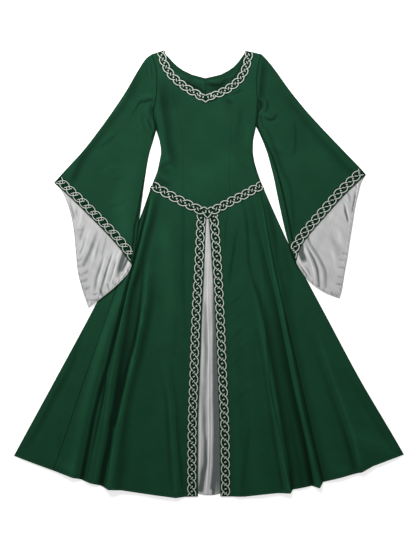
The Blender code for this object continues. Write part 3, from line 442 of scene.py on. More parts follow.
BODICE_CREASES = seen(
    (((160, 83, -0.5), (162, 95, -1.6), (163, 105, -2.3), (165, 116, -2.2), (167, 130, -2.2),
     (168.5, 145, -2.1), (172, 158, -1.6), (173, 164, -0.8)), 34, 15),
    (((168, 91, -0.9), (176, 103, -1.3), (183, 112, -0.5)), 55, 55),
    (((224, 95, -0.8), (229, 103, -1.1), (232, 111, -0.4)), 20, 28),
    (((160, 168, -0.8), (167, 164.5, -1.4), (174, 161.5, 0)), 7, 8),
    (((160, 163, 0.5), (166, 159, 0.8), (172, 155.5, 0)), 6, 7),
    (((162, 169, -1), (167, 173, -0.9), (172, 175, 0)), 20, 20),
    (((158, 180, -1.4), (164.5, 183.5, -2), (171, 186, -0.8)), 14, 20),
    (((187, 182, 0), (189, 192, 0.6), (191, 200, 0.4)), 7, 7),
    (((195, 206, 0.4), (198, 198, 0.6), (203, 188, 0)), 5, 6),
    (((231, 94.5, -0.6), (237, 92.8, -2), (245, 89.5, 0)), 6, 8),
    (((227, 102, -0.6), (231, 102.6, -1.3), (236, 101, 0)), 8, 10),
    (((240, 107, 0), (241, 117, -0.9), (238, 130, -0.5), (236, 141, 0)), 12, 13),
    (((246, 118, 0.4), (248, 131, 0.9), (247, 146, 0.7), (243, 152, 0)), 16, 20),
    (((240, 163, 0), (244, 167, -0.5), (249, 172, 0)), 9, 9),
    (((232, 180, 0), (235, 187, -0.6), (238, 193, -0.4)), 7, 7),
    (((184, 185, 0.8), (205, 179, 1.3), (223, 168, 0.9)), 85, 85),
    (((158, 60, 0), (159, 70, 0.6), (160, 80, 0)), 7, 6),
    # Painted shadow in the gaps between the sleeves and the bodice at the underarms
    (((154.8, 112, -1), (155.4, 120, -4), (156.6, 126, -6), (157.2, 131, -7)), 5, 3),
    (((257.6, 100, -1.5), (257.2, 112, -4), (256.6, 120, -6), (255.8, 126, -8)), 3, 5),
    (((157, 70, -0.6), (159, 68, -1), (161, 62, 0)), 4, 5),
)

NECK_BACK_CREASES = seen(
    (((168, 70, 0.81), (178, 74.5, 1.6), (186, 77, 0.54)), 6, 9.5),
    (((171, 76, -0.81), (179, 79, -2.2), (186, 83, -1.1)), 5, 11),
    (((193, 79.4, 0.54), (200, 81.5, 2.2), (205, 82, 1.4)), 6, 8.1),
    (((207, 81, 0.81), (212, 81, 1.6), (220, 79.5, 0.81), (228, 76, 0.54)), 6, 8.1),
    (((186, 82, -1.4), (192, 85.5, -3.8), (197, 87.5, -2.2), (203, 91.5, -1.9)), 8, 12),
    (((209, 83.5, -1.4), (214, 85, -3.2), (219, 84.6, -3.2), (226, 80, -1.1)), 7, 14),
    (((212, 90, -1.4), (218, 88.5, -1.9), (224, 86, 0)), 6, 9.5),
    (((232, 80, -1.4), (238, 74, -2.7), (243, 64, -2.7), (245, 57, -1.4)), 8, 12),
    (((226, 78, 0), (233, 74.5, 1.4), (239, 68, 0)), 5, 8.1),
    (((164.5, 55, -1.4), (168, 63, -2.7), (174, 71, -1.4)), 8.1, 6),
    (((203, 84, 0.54), (203.4, 88, 1.1), (203.6, 92, 0)), 5.4, 5),
)

SLEEVE_CREASES_LEFT = seen(
    (((137, 101, 0), (143, 97.2, 1.2), (149, 96, 1.6), (154.5, 98, 0.8)), 6, 6),
    (((130.5, 118, 0), (135.5, 110, -1.5), (139, 104.2, -2.2), (141.6, 101, -1)), 4, 7),
    (((139.5, 102.6, -0.8), (145, 101.4, -2.8), (150, 100, -2.6), (154, 99.6, -1)), 3.6, 11),
    (((152, 103, 0.4), (147.5, 105.5, 1.4), (146, 111, 1.8), (147.3, 119, 1.3), (149.2, 126, 0.4)), 4, 4),
    (((151.6, 106, -0.8), (151.2, 112, -2.2), (151.6, 117.5, -1)), 6, 7),
    (((145.4, 113, -0.8), (147.4, 119, -2), (150, 125, -2.8), (152.8, 130.5, -2)), 4, 5),
    (((142.5, 114, -0.4), (143.6, 124, -1), (146, 132, -0.5)), 6, 11),
    # Painted shadow in the gap between the sleeve and the bodice at the armhole
    (((153.6, 107, -2.6), (153.2, 111.5, -6), (153.5, 114, -3.6), (153.4, 117, -6), (154.6, 121, -6),
     (155.4, 126, -10), (155.6, 130, -12), (153.8, 134, -8), (151.8, 139, -2)), 4, 5),
    (((137, 133, 0), (142, 127, 0.5), (146, 120, 0)), 6, 6),
    (((140, 63, 0), (133.5, 88, -1.2), (120.5, 109, -1.7), (108.5, 125, -1.6), (97, 140, -1.8),
     (81.5, 160, -2), (73.5, 177, -2.2), (70, 184, -0.8)), 28, 14),
    (((98, 149.5, 0), (104, 145.5, -1.2), (111, 140.5, -1.4), (120, 132.5, 0)), 8, 6),
    (((96, 146, 0), (104, 139.5, 0.8), (114, 133, 0)), 6, 6),
    (((97, 176, 0), (104, 171, 0.5), (115, 166.5, 0.7), (126, 168, 0)), 7, 7),
    (((108, 181.5, 0), (116, 180, -0.8), (128, 176.5, 0)), 8, 7),
    (((104, 209, 0), (113, 207, -0.8), (120, 205, -0.9), (128, 199, 0)), 7, 6),
    (((110, 213, 0), (119, 211.5, 0.6), (128, 206, 0)), 6, 6),
    (((106, 203, 0), (114, 201, 0.5), (124, 196, 0)), 6, 6),
    (((133, 150, 0.3), (129, 185, 0.9), (122, 212, 1.3), (126, 236, 1.4)), 50, 55),
    (((146, 60, 0), (146.8, 70, -1), (149, 80, 0)), 5, 5),
    (((150, 59, -0.7), (151.3, 69, -1.5), (152.8, 78, -1)), 4, 4),
    (((148.6, 63, 0), (149.2, 71, 0.6), (151, 84, 0)), 4, 4),
    (((134, 90, -0.6), (142, 70, -0.6)), 60, 60),
    (((147, 88, 0), (150, 90, -0.6), (155, 92, 0)), 5, 5),
)
SLEEVE_CREASES_RIGHT = seen(
    (((263, 57, -0.8), (262, 70, -1.8), (261, 80, -2.1), (260.2, 90, -2.5), (260, 97, -2.2),
     (261, 106, -1.6)), 27, 7),
    (((259.5, 99, 0.8), (263, 100, 1.6), (265, 104, 1.8), (264, 109, 1.6), (260, 112, 1)), 4, 4),
    (((258.6, 101, -3), (260.4, 104, -3.6), (260.4, 108, -3.8), (258.8, 111.4, -3.2)), 6, 6),
    (((266.6, 100, -0.4), (267.6, 106, -2.4), (266, 111.5, -1.6), (263, 113.4, 0)), 8, 4),
    (((264, 117.4, -0.6), (268, 119.5, -2.6), (271, 120.2, -3.4), (274, 118.8, -3.2), (277.2, 114.4, -0.8)),
     5, 8),
    (((260.6, 115, -1), (260.8, 118, -2), (261.4, 122, -1.2), (262.6, 127, -0.6)), 8, 5),
    (((259, 114.3, 0.6), (265, 115, 1), (271, 116.2, 0.6)), 4, 4),
    # Painted shadow in the gap between the sleeve and the bodice at the armhole
    (((257.4, 96, -2), (257.8, 104, -4.4), (257.8, 111, -5.6), (257.2, 117, -8), (256.9, 123, -12),
     (258, 128, -9), (260.2, 134, -6), (262, 140, -2)), 4.6, 4),
    (((262, 122, 0), (267, 131, -0.9), (271, 139, -1.1), (275, 151, -1.1), (282, 170, -1.1),
     (290.5, 190, -1.2), (293, 212, -1.2), (294, 232, -0.6)), 14, 9),
    (((293, 117, 0), (295.5, 130, -1.1), (296, 140, -1.3), (295, 150, -1.1), (291, 160, 0)), 8, 8),
    (((270, 147, 0), (278, 153.5, -0.9), (290, 160, 0)), 6, 7),
    (((272, 142, 0), (281, 148.5, 0.5), (291, 153, 0)), 6, 6),
    (((283, 92, 0), (292, 105, -0.9), (304, 119, -1), (317, 135, -1.1), (331, 150, -1.3), (345, 166, -1.3),
     (352, 172, -1.6)), 14, 26),
    (((268, 72, -0.6), (290, 112, -0.5), (300, 140, -0.3)), 90, 90),
    (((300, 100, 0), (310, 108, -0.4), (318, 120, 0)), 8, 8),
)
UNDERARM_LEFT = ((-186, 330), (-206, 400), (-218, 461), (-226, 499), (-232, 536), (-237, 563), (-244, 586),
                 (-248, 628), (-252, 664), (-258, 700))
UNDERARM_RIGHT = ((177, 272), (186, 294), (212, 344), (237, 418), (261, 516), (281, 616), (288, 660),
                  (297, 690))
UNDERARM_DEPTH = 2.6
UNDERARM_REACH = 4.6

# Folds of the satin, placed in the same way
LINING_CREASES_LEFT = seen(
    (((97.5, 230, 0), (95, 238, -1.7), (92, 246, -2.3), (89, 254, -2.4), (86, 260, -2.1), (83, 265.4, -2.2),
     (82, 266.5, 0)), 11, 10),
    (((87, 236, 0), (85, 241, -1), (83, 247, -1.8), (81, 252, -1.6), (80, 255, 0)), 6, 5),
    (((85, 224, 0), (83, 230, -1.3), (80.6, 237, -1.3), (79.4, 243, 0)), 8, 8),
    (((91, 226, 0), (88, 236, 0.8), (85, 245, 1), (82, 254, 1), (80, 258, 0)), 5, 4.5),
    (((101, 234, 0), (98.4, 244, -1.1), (96.4, 254, -1.2), (95, 262, 0)), 8, 8),
    (((107, 232, 0), (105.4, 243, -1.2), (103, 252, -1), (102, 258, 0)), 7, 7),
    (((103, 228, 0), (99, 240, 1), (94.5, 253, 1.2), (91, 264, 0.6), (89, 270, 0)), 7, 7),
    (((103.5, 256, 0), (101.4, 263, -1.6), (98.8, 271, -2.1), (96.6, 278, -2), (95.2, 286, -1.8),
     (94.4, 292, -0.6)), 8, 7.5),
    (((108, 250, 0), (104, 262, 1.1), (101.4, 271, 1.3), (99.2, 281, 1.3), (97.8, 290, 0)), 6, 6),
    (((113, 251, 0), (110, 260, -2.2), (106.6, 270, -3), (104, 279, -3.2), (101.8, 287, -2.4),
     (100, 295, -1.6)), 7, 5.5),
    (((116, 248, 0), (112.6, 258, 1.2), (109.4, 268, 1.4), (106.6, 279, 1.2), (104.4, 288, 0)), 6, 5),
    (((118, 256, 0), (114.6, 266, -1.8), (111.6, 276, -1.6), (108, 286, 0)), 6, 5),
    (((121, 249, 0.8), (117.6, 258, 1.9), (115.4, 268, 1.9), (112.4, 279, 1.2), (110, 287, 0)), 5, 5),
    # Painted shade where the lining shows inside the mouth of the sleeve
    (((125.4, 251, -8), (123.4, 258, -9), (121, 265, -6.5), (118, 276, -1.6)), 11, 12),
    (((128, 258, -5), (125.4, 264, -5), (122, 271, -2)), 6, 7),
    (((129.6, 262, 1.2), (127, 269, 2), (123, 276, 1.4), (119, 282, 0)), 6, 5),
    (((70, 200, -0.6), (71.6, 208, -1.6), (74, 216, -1.8), (74.6, 222, 0)), 6, 8),
    (((77, 206, 0), (76.4, 212, -1.4), (77, 218, 0)), 6, 6),
    (((82, 206, 0), (81, 218, 1), (77, 232, 0)), 9, 9),
    (((76, 229, 0), (80, 230.5, -1.2), (84, 229, 0)), 4, 4),
    (((89, 270, 0), (86, 272.6, -2.2), (82.6, 274, -1.4)), 5, 5),
    (((88, 278, 0), (86, 280.4, -2.4), (82, 281.4, -1.6)), 5, 4.5),
    (((91.5, 285.6, 0), (88, 288, -2.4), (84.6, 289.6, -1.4)), 5, 4.5),
    (((83, 257, 0), (80, 260.4, -2), (77.4, 260.6, -1)), 4, 4),
    (((82, 266, -0.6), (80, 266.6, -1.8), (78.2, 266.4, -1.2)), 3.6, 4),
    (((83, 275.4, 0), (81, 275.6, -1.8), (79.6, 275.4, -1)), 3.6, 4),
    (((92, 294, 0), (95, 294.6, -1.8), (99, 292.6, 0)), 5, 6),
    (((100, 289, -1), (101.4, 293, -2.2), (103, 296, -1)), 7, 7),
    (((107, 283, 0), (108, 286, -2.4), (108.5, 289, -1)), 4.5, 4.5),
    (((112, 280, 0), (113.4, 283, -1.6), (114, 285.5, -0.6)), 4, 4),
    (((123, 273, 0), (123.5, 277, -2), (124, 280, -0.5)), 4, 4),
    (((127, 267, 0), (128, 270.5, -2.6), (128.5, 273, -1)), 4, 4),
    (((87.6, 300, -0.8), (92, 300.6, -1.2), (97, 299.8, -1.4)), 6, 7),
)
LINING_CREASES_RIGHT = seen(
    # Painted shade where the lining shows inside the mouth of the sleeve
    (((301.8, 246, -7), (301.8, 251, -8), (303.2, 256, -7.4), (305.4, 261, -2.4)), 9, 12),
    (((299.4, 252, -6), (301, 257, -6), (303, 262, -1.6)), 7, 8),
    (((303.4, 246, 0.8), (306.8, 253, 1.6), (311, 263, 1.6), (314, 273, 1.2), (315.5, 282, 0)), 5, 5),
    (((305, 242, -1), (310, 252, -2.4), (315, 262, -2.8), (318, 273, -3.6), (319, 286, -2.6)), 5.5, 9),
    (((308.6, 247, 0.6), (314.6, 257, 1.2), (319.4, 266, 1.1), (321.6, 276, 0.9), (322, 285, 0)), 4, 4),
    (((308, 237, -3.4), (310, 243, -2.2), (316, 252.6, -2), (321.6, 262, -2.1), (325.6, 273, -2),
     (326, 287, -1.4)), 6, 10),
    (((297, 257, 1), (302, 266, 2.4), (308, 275, 1.6), (313, 281, 0)), 3.5, 3.5),
    (((299, 263, 0), (303, 270, -2.6), (308, 277, -1.4)), 3.5, 3.5),
    (((305, 265, 0), (309, 272, -1.8), (311, 279, 0)), 4, 4),
    (((344, 204, -1), (345.4, 212, -4), (347, 218.6, -3.6), (348, 223.6, 0)), 6, 5),
    (((343, 200, 0), (347, 208, 1.8), (349, 217, 1.6), (350, 226, 0)), 3.5, 4),
    (((355.6, 190, 0), (354.6, 199, -3), (353, 207, -2.6), (351.4, 216, 0)), 5, 6),
    (((347, 192, -2.6), (349.6, 197, -2), (351, 206, 0)), 6, 7),
    (((354, 183, -3), (356, 187, -1.6), (357, 191, 0)), 5, 5),
    (((358, 184, 1), (356.5, 194, 1.6), (354, 207, 1), (351, 222, 0)), 3.5, 3.5),
    (((327, 228, 0), (332, 238, -0.7), (337, 250, -0.6), (341, 262, 0)), 18, 14),
    (((336, 226, 0), (339.6, 236, 0.9), (342, 247, 0)), 14, 12),
    (((330, 246, 0), (334, 258, 0.9), (336, 272, 0)), 11, 11),
    (((335, 208, 0), (331, 216, 0.8), (326, 226, 0)), 12, 12),
    (((341, 252.5, 0), (344, 253.5, -2.4), (346, 254, -1)), 3, 4),
    (((338, 259, 0), (342, 260, -1.8), (345, 260, -0.6)), 3, 4),
    (((337, 266.5, 0), (341, 267.5, -2.2), (344, 267.5, -0.8)), 3, 4),
    (((336, 276, 0), (340, 277, -1.8), (342.5, 277.5, -0.6)), 3.5, 4),
    (((335, 284, 0), (339, 284.5, -2.2), (341.5, 285, -0.8)), 3.5, 4),
    (((332, 291, 0), (333, 294, -1.6), (334, 296, -0.6)), 3.5, 3.5),
)
INSET_CREASES = seen(
    (((206.8, 224, 1.2), (206.2, 240, 1.6), (205.6, 256, 1.6), (205.2, 264, 0)), 4, 4),
    (((208.4, 248, 0), (208, 262, 1.2), (207.4, 285, 1.4), (207.6, 305, 2), (208.4, 330, 2),
     (208.9, 350, 2.2), (208.3, 372, 2.4), (208.3, 410, 2.4), (208.9, 430, 2.6), (208.8, 446, 2.6),
     (208.5, 460, 2.8), (207.4, 475, 2.8), (206.2, 488, 2.6), (205.6, 494, 2)), 3.2, 3.4),
    (((209.8, 300, -0.3), (210.2, 350, -0.6), (210.2, 400, -1.2), (210.3, 445, -1.5), (209.3, 475, -1.3),
     (208.4, 490, -0.8)), 2.4, 2.4),
    (((211, 300, 0.3), (211.3, 350, 0.4), (211.3, 400, 0.9), (211.3, 445, 1), (210.3, 475, 0.8)), 2.6, 2.6),
    (((213.2, 276, 0), (213.6, 292, -1.6), (214.2, 308, -4), (214.5, 330, -5), (214.7, 350, -5.4),
     (214.8, 400, -5.6), (215.1, 430, -5.6), (214.8, 460, -5.8), (213.8, 475, -5.8), (212.4, 488, -5.2)), 44,
     12),
    (((204.5, 296, 0), (205.1, 310, -2), (205.4, 330, -1.8), (206, 350, -2.8), (205.7, 362, -2.4),
     (205.1, 372, -2), (204.8, 390, -1.6), (204.2, 410, -2.4), (204.5, 430, -2.6), (205.4, 445, -4.2),
     (205.4, 460, -5.2), (203.3, 475, -5.6), (201.2, 490, -5.4)), 11, 10.5),
    (((201.5, 374.9, 0), (201.8, 392.8, -0.9), (202.4, 416.6, -0.8), (202.7, 437.4, 0)), 10, 8),
    (((202, 436, 0), (202.4, 458, -1.4), (201.2, 475, -3), (200.2, 490, -3)), 8, 10),
    (((199.6, 400, 0.4), (200.4, 430, 1), (200, 455, 1.4), (199.4, 468, 0.6)), 4, 5),
    (((216.8, 478, 0), (216, 488, 2), (216, 494, 2)), 4, 4),
    (((206, 268, 0), (205.4, 272, -0.8), (204.6, 280, 0)), 3, 3),
    (((202, 330, 0), (202.8, 350, 0.8), (202, 365, 0)), 5, 5),
)


def smoothstep(share: np.ndarray) -> np.ndarray:
    """0 below 0, 1 above 1, and a soft S between."""
    share = np.clip(share, 0.0, 1.0)
    return share * share * (3.0 - 2.0 * share)


def mix(low: np.ndarray, high: np.ndarray, share: np.ndarray) -> np.ndarray:
    """The value a share of the way from low to high."""
    return low + (high - low) * share


def knot_slopes(slopes: np.ndarray) -> np.ndarray:
    """Slopes of a curve at its inner knots that keep it from overshooting.

    Args:
        slopes: the slope of each straight step between two knots.

    Returns:
        The harmonic mean on each inner knot, or 0 where the curve turns back.
    """
    before, after = slopes[:-1], slopes[1:]
    total = np.where(before * after > 0, before + after, 1.0)
    return np.where(before * after > 0, 2.0 * before * after / total, 0.0)


def between(t: np.ndarray, span: np.ndarray, ends: tuple[np.ndarray, np.ndarray],
            slopes: tuple[np.ndarray, np.ndarray]) -> np.ndarray:
    """Values on the cubic between two knots.

    Args:
        t: share of the way.
        span: distance between the knots.
        ends: the values at the two knots.
        slopes: the curve's slopes there.

    Returns:
        The values, in the shape of t.
    """
    return ((1 + 2 * t) * (1 - t) ** 2 * ends[0] + t * (1 - t) ** 2 * span * slopes[0]
            + t * t * (3 - 2 * t) * ends[1] - t * t * (1 - t) * span * slopes[1])


def through(knots: Sequence[float], values: Sequence[float], at: np.ndarray) -> np.ndarray:
    """Values on the smooth curve through the knots, which never overshoots and is straight beyond its ends.

    Args:
        knots: rising places of the given values.
        values: the value at each knot.
        at: places where the curve is read.

    Returns:
        The values there, in the shape of at.
    """
    knots, values, at = np.asarray(knots, float), np.asarray(values, float), np.asarray(at, float)
    spans = np.diff(knots)
    slopes = np.diff(values) / spans
    tangents = np.concatenate(([slopes[0]], knot_slopes(slopes), [slopes[-1]]))
    here = np.clip(np.searchsorted(knots, at, side="right") - 1, 0, len(spans) - 1)
    t = np.clip((at - knots[here]) / spans[here], 0.0, 1.0)
    curve = between(t, spans[here], (values[here], values[here + 1]), (tangents[here], tangents[here + 1]))
    below = np.minimum(at - knots[0], 0.0) * slopes[0]
    above = np.maximum(at - knots[-1], 0.0) * slopes[-1]
    return curve + below + above


def run_lengths(points: Sequence[Sequence[float]]) -> np.ndarray:
    """Distance along a run of plan points to each of them."""
    places = np.asarray(points, float)[:, :2]
    return np.concatenate(([0.0], np.cumsum(np.hypot(*np.diff(places, axis=0).T))))


def along(points: Sequence[Sequence[float]], share: np.ndarray) -> tuple[np.ndarray, np.ndarray]:
    """Plan places a share of the way along the smooth curve through the points.

    Args:
        points: places across and down.
        share: 0 at the first point and 1 at the last.

    Returns:
        Places across, and places down.
    """
    lengths = run_lengths(points)
    at = np.asarray(share, float) * lengths[-1]
    return through(lengths, [p[0] for p in points], at), through(lengths, [p[1] for p in points], at)


def by_number(points: Sequence[Sequence[float]], share: np.ndarray) -> tuple[np.ndarray, np.ndarray]:
    """Plan places a share of the way through the points, counted by number of points, on a smooth curve.

    Args:
        points: places across and down.
        share: 0 at the first point and 1 at the last.

    Returns:
        Places across, and places down.
    """
    numbers = np.arange(len(points), dtype=float)
    at = np.asarray(share, float) * numbers[-1]
    return through(numbers, [p[0] for p in points], at), through(numbers, [p[1] for p in points], at)


def to_world(points: np.ndarray) -> np.ndarray:
    """Pattern millimetres (across, down, height) to metres in the frame."""
    middle = (REACH_RIGHT - REACH_LEFT) / 2
    return np.stack((points[..., 0] - middle, GOWN_LENGTH / 2 - points[..., 1], points[..., 2]), axis=-1) * MM


def relief(creases: Sequence[Crease], across: np.ndarray, down: np.ndarray) -> np.ndarray:
    """Sum of the creases' heights at plan places.

    Args:
        creases: the ridges and troughs.
        across: places across.
        down: places down, in the same shape.

    Returns:
        Heights in millimetres, in the same shape.
    """
    total = np.zeros(across.shape)
    for crease in creases:
        path = np.array(crease.path, float)
        lengths = run_lengths(path)
        at = np.linspace(0.0, lengths[-1], 5 * len(path))
        xs, ys, rises = (through(lengths, path[:, column], at) for column in range(3))
        reach = max(crease.left, crease.right)
        near = ((across > xs.min() - reach) & (across < xs.max() + reach)
                & (down > ys.min() - reach) & (down < ys.max() + reach))
        if not near.any():
            continue
        px, py = across[near], down[near]
        best, height = np.full(px.shape, 1.0), np.zeros(px.shape)
        for i in range(len(at) - 1):
            dx, dy = xs[i + 1] - xs[i], ys[i + 1] - ys[i]
            t = np.clip(((px - xs[i]) * dx + (py - ys[i]) * dy) / (dx * dx + dy * dy), 0.0, 1.0)
            ox, oy = px - xs[i] - t * dx, py - ys[i] - t * dy
            share = np.hypot(ox, oy) / np.where(dx * oy - dy * ox < 0, crease.left, crease.right)
            nearer = share < best
            best = np.where(nearer, share, best)
            height = np.where(nearer, mix(rises[i], rises[i + 1], t), height)
        total[near] += height * (1.0 - smoothstep(best))
    return total


def ripples(place: np.ndarray, pitch: float) -> np.ndarray:
    """Uneven small waves between -1 and 1, about a pitch apart."""
    turn = 2.0 * math.pi * place / pitch
    return (np.sin(turn) + 0.7 * np.sin(0.618 * turn + 1.3) + 0.5 * np.sin(1.732 * turn + 4.0)) / 2.2


def waist_down(across: np.ndarray) -> np.ndarray:
    """Depth of the waist seam."""
    return through([p[0] for p in WAIST_SEAM], [p[1] for p in WAIST_SEAM], across)


def line_across(line: SkirtLine, down: np.ndarray) -> np.ndarray:
    """Places across of one of the skirt's lines.

    Args:
        line: the line.
        down: depths.

    Returns:
        Its places across at those depths.
    """
    knots = [float(waist_down(line.waist)), *LINE_DEPTHS, line.hem_down]
    places = [line.waist, line.d580, line.d700, line.d900, line.d1100, line.d1300, line.hem]
    return through(knots, places, down)


def line_rise(line: SkirtLine, down: np.ndarray) -> np.ndarray:
    """Heights of the cloth on one of the skirt's lines."""
    share = 0.15 + 0.85 * (down - line.begins) / (line.hem_down - line.begins)
    return line.rise * smoothstep(np.where(down > line.begins, share, 0.0))


def seam_roll(distance: np.ndarray, depth: float = SEAM_ROLL, reach: float = SEAM_ROLL_REACH) -> np.ndarray:
    """How far cloth rolls down near a seam or edge."""
    return depth * (1.0 - smoothstep(np.abs(distance) / reach))


def edge_painted_shading(distance: np.ndarray, depth: float = 1.8, reach: float = 4.5) -> np.ndarray:
    """Painted shade where cloth curves down at an edge or seam, as a height; a depth below 0 paints a highlight
    instead.
    """
    return -depth * (1.0 - smoothstep(np.abs(distance) / reach))


def hem_painted_shading(distance: np.ndarray) -> np.ndarray:
    """Painted shadow of the topstitching, a painted highlight on the raised strip below it, and painted shade
    at the edge, as a height.
    """
    strip = smoothstep((distance - 1.5) / 1.5) * (1.0 - smoothstep((distance - HEM_DEPTH + 2.0) / 1.5))
    return 1.0 * strip - 2.2 * np.exp(-((distance - HEM_DEPTH) / 1.7) ** 2) + edge_painted_shading(distance, 2.4, 3.0)


def hem_form(distance: np.ndarray, along_hem: np.ndarray) -> np.ndarray:
    """Extra height of a turned and topstitched hem: two layers, a groove for the thread, and its puckers.

    Args:
        distance: from the edge, in millimetres.
        along_hem: place along the hem.

    Returns:
        Heights in millimetres.
    """
    layers = HEM_EXTRA * (1.0 - smoothstep((distance - HEM_DEPTH) / 2.0))
    groove = STITCH_GROOVE * np.exp(-((distance - HEM_DEPTH) / 1.5) ** 2)
    pucker = 0.3 * ripples(along_hem, 11.0) * (1.0 - smoothstep(np.abs(distance - HEM_DEPTH) / 16.0))
    return layers - groove + pucker - seam_roll(distance, EDGE_ROLL, EDGE_ROLL_REACH)


def settled(rise: np.ndarray, ease: float = 1.6) -> np.ndarray:
    """Heights above the layer beneath, which level out softly instead of passing below it."""
    return np.where(rise > ease, rise, ease * np.exp(np.minimum(rise / ease, 1.0) - 1.0))


def blurred(grid: np.ndarray, rows: int, columns: int) -> np.ndarray:
    """A grid of values averaged over a window around each.

    Args:
        grid: rows and columns of values.
        rows: reach of the window up and down.
        columns: its reach to each side.

    Returns:
        The averages, in the shape of the grid.
    """
    for axis, reach in ((0, rows), (1, columns)):
        size = 2 * reach + 1
        widths = [(0, 0), (0, 0)]
        widths[axis] = (reach + 1, reach)
        sums = np.cumsum(np.pad(grid, widths, mode="edge"), axis=axis)
        ahead, behind = [slice(None)] * 2, [slice(None)] * 2
        ahead[axis], behind[axis] = slice(size, None), slice(None, -size)
        grid = (sums[tuple(ahead)] - sums[tuple(behind)]) / size
    return grid


@dataclass
class Wall:
    """A closed wall of cloth: two skins that share their faces, in pattern millimetres.

    tone is 0.5 on level cloth, with painted shade below that in a hollow and painted highlight above it on a
    crest, and the finishes read it.
    """

    outer: np.ndarray
    inner: np.ndarray
    faces: np.ndarray
    tone: np.ndarray

    def closed_faces(self, start: int) -> list[list[int]]:
        """Faces of both skins and of the rim between them.

        Args:
            start: number of the first vertex.

        Returns:
            Lists of vertex numbers.
        """
        count = len(self.outer)
        edges = np.concatenate([self.faces[:, [i, (i + 1) % 4]] for i in range(4)])
        edges = edges[edges[:, 0] != edges[:, 1]]
        keys, turned = edges[:, 0] * count + edges[:, 1], edges[:, 1] * count + edges[:, 0]
        rim = edges[~np.isin(keys, turned)]
        skins = np.concatenate((
            self.faces,
            self.faces[:, ::-1] + count,
            np.stack((rim[:, 1], rim[:, 0], rim[:, 0] + count, rim[:, 1] + count), axis=1),
        )) + start
        plain = (skins != np.roll(skins, 1, axis=1)).all(axis=1)
        faces = skins[plain].tolist()
        for face in skins[~plain].tolist():
            kept = [corner for i, corner in enumerate(face) if corner != face[i - 1]]
            if len(kept) > 2:
                faces.append(kept)
        return faces


def grid_faces(rows: int, columns: int) -> np.ndarray:
    """Faces of a grid of points, facing up where its rows run down the gown and its columns to the right.

    Args:
        rows: number of rows.
        columns: number of points in a row.

    Returns:
        Four vertex numbers for each face.
    """
    numbers = np.arange(rows * columns).reshape(rows, columns)
    faces = np.stack((numbers[:-1, :-1], numbers[1:, :-1], numbers[1:, 1:], numbers[:-1, 1:]), axis=-1)
    return faces.reshape(-1, 4)


def painted_fold_shading(height: np.ndarray, painted_shading_heights: np.ndarray, rule: PaintedShadingRule) -> np.ndarray:
    """Painted shade and highlight for a grid of cloth, from its creases, and from how far it lies above or
    below the cloth around it.

    Args:
        height: the grid's heights.
        painted_shading_heights: heights of its creases and sewing alone, which set its painted shade and
            highlight.
        rule: how the two are read.

    Returns:
        Values from 0 to 1: painted shade below 0.5 and painted highlight above it.
    """
    around = blurred(blurred(height, rule.rows, rule.columns), rule.rows, rule.columns)
    return np.clip(0.5 + 0.5 * (painted_shading_heights + rule.slow * (height - around)) / rule.depth, 0.0, 1.0)


def grid_wall(across: np.ndarray, down: np.ndarray, top: np.ndarray, thickness: float,
              painted_shading_heights: np.ndarray, rule: PaintedShadingRule) -> Wall:
    """A wall of cloth on a grid of plan places.

    Args:
        across: grid of places across.
        down: grid of places down.
        top: grid of heights of the upper skin.
        thickness: of the cloth, in millimetres.
        painted_shading_heights: grid of the heights of its creases and sewing, which set its painted shade and
            highlight.
        rule: how its painted shading is read.

    Returns:
        The wall.
    """
    low = np.maximum(top - thickness, 0.0)
    outer = np.stack((across, down, top), axis=-1).reshape(-1, 3)
    inner = np.stack((across, down, low), axis=-1).reshape(-1, 3)
    tone = painted_fold_shading(top, painted_shading_heights, rule).reshape(-1)
    return Wall(outer, inner, grid_faces(*across.shape), tone)


def make_piece(name: str, walls: Sequence[Wall], material: bpy.types.Material) -> bpy.types.Object:
    """One named piece from closed walls, smooth but for its edges, with its weave laid out as on the pattern.

    Args:
        name: the piece's name.
        walls: its walls.
        material: its finish.

    Returns:
        The object, which rides on the gown's body.
    """
    vertices, faces, plan, painted_shadings = [], [], [], []
    start = 0
    for wall in walls:
        points = np.concatenate((wall.outer, wall.inner))
        faces += wall.closed_faces(start)
        vertices.append(to_world(points))
        plan.append(points[:, :2] * MM)
        painted_shadings.append(np.concatenate((wall.tone, np.full(len(wall.inner), 0.5))))
        start += len(points)
    return add_mesh(name, np.concatenate(vertices), faces, np.concatenate(plan), np.concatenate(painted_shadings),
                    material)


def add_mesh(name: str, vertices: np.ndarray, faces: list[list[int]], plan: np.ndarray, painted_shadings: np.ndarray,
             material: bpy.types.Material) -> bpy.types.Object:
    """Adds one mesh to the scene as a piece of the gown.

    Args:
        name: the piece's name.
        vertices: world places in metres.
        faces: lists of vertex numbers.
        plan: a place on the cloth for each vertex, in metres.
        painted_shadings: painted fold shade and highlight of each vertex.
        material: its finish.

    Returns:
        The object, which rides on the gown's body.
    """
    mesh = bpy.data.meshes.new(name)
    mesh.from_pydata(vertices.tolist(), [], faces)
    mesh.validate()
    corners = np.zeros(len(mesh.loops), np.int32)
    mesh.loops.foreach_get("vertex_index", corners)
    layer = mesh.uv_layers.new(name="cloth")
    layer.data.foreach_set("uv", plan[corners].astype(np.float32).ravel())
    attribute = mesh.attributes.new("painted_fold_shading", "FLOAT", "POINT")
    attribute.data.foreach_set("value", painted_shadings.astype(np.float32))
    mesh.shade_smooth()
    mesh.set_sharp_from_angle(angle=math.radians(55))
    mesh.materials.append(material)
    piece = bpy.data.objects.new(name, mesh)
    bpy.context.scene.collection.objects.link(piece)
    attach(piece, BODY)
    log.info("%s: %d faces", name, len(faces))
    return piece


def linear(srgb: str) -> tuple[float, float, float, float]:
    """A hex colour such as "1f4c35" as linear light, with alpha 1.

    Args:
        srgb: six hex digits.

    Returns:
        Red, green, blue and alpha.
    """
    channels = [int(srgb[i:i + 2], 16) / 255 for i in (0, 2, 4)]
    light = [c / 12.92 if c <= 0.04045 else ((c + 0.055) / 1.055) ** 2.4 for c in channels]
    return (*light, 1.0)


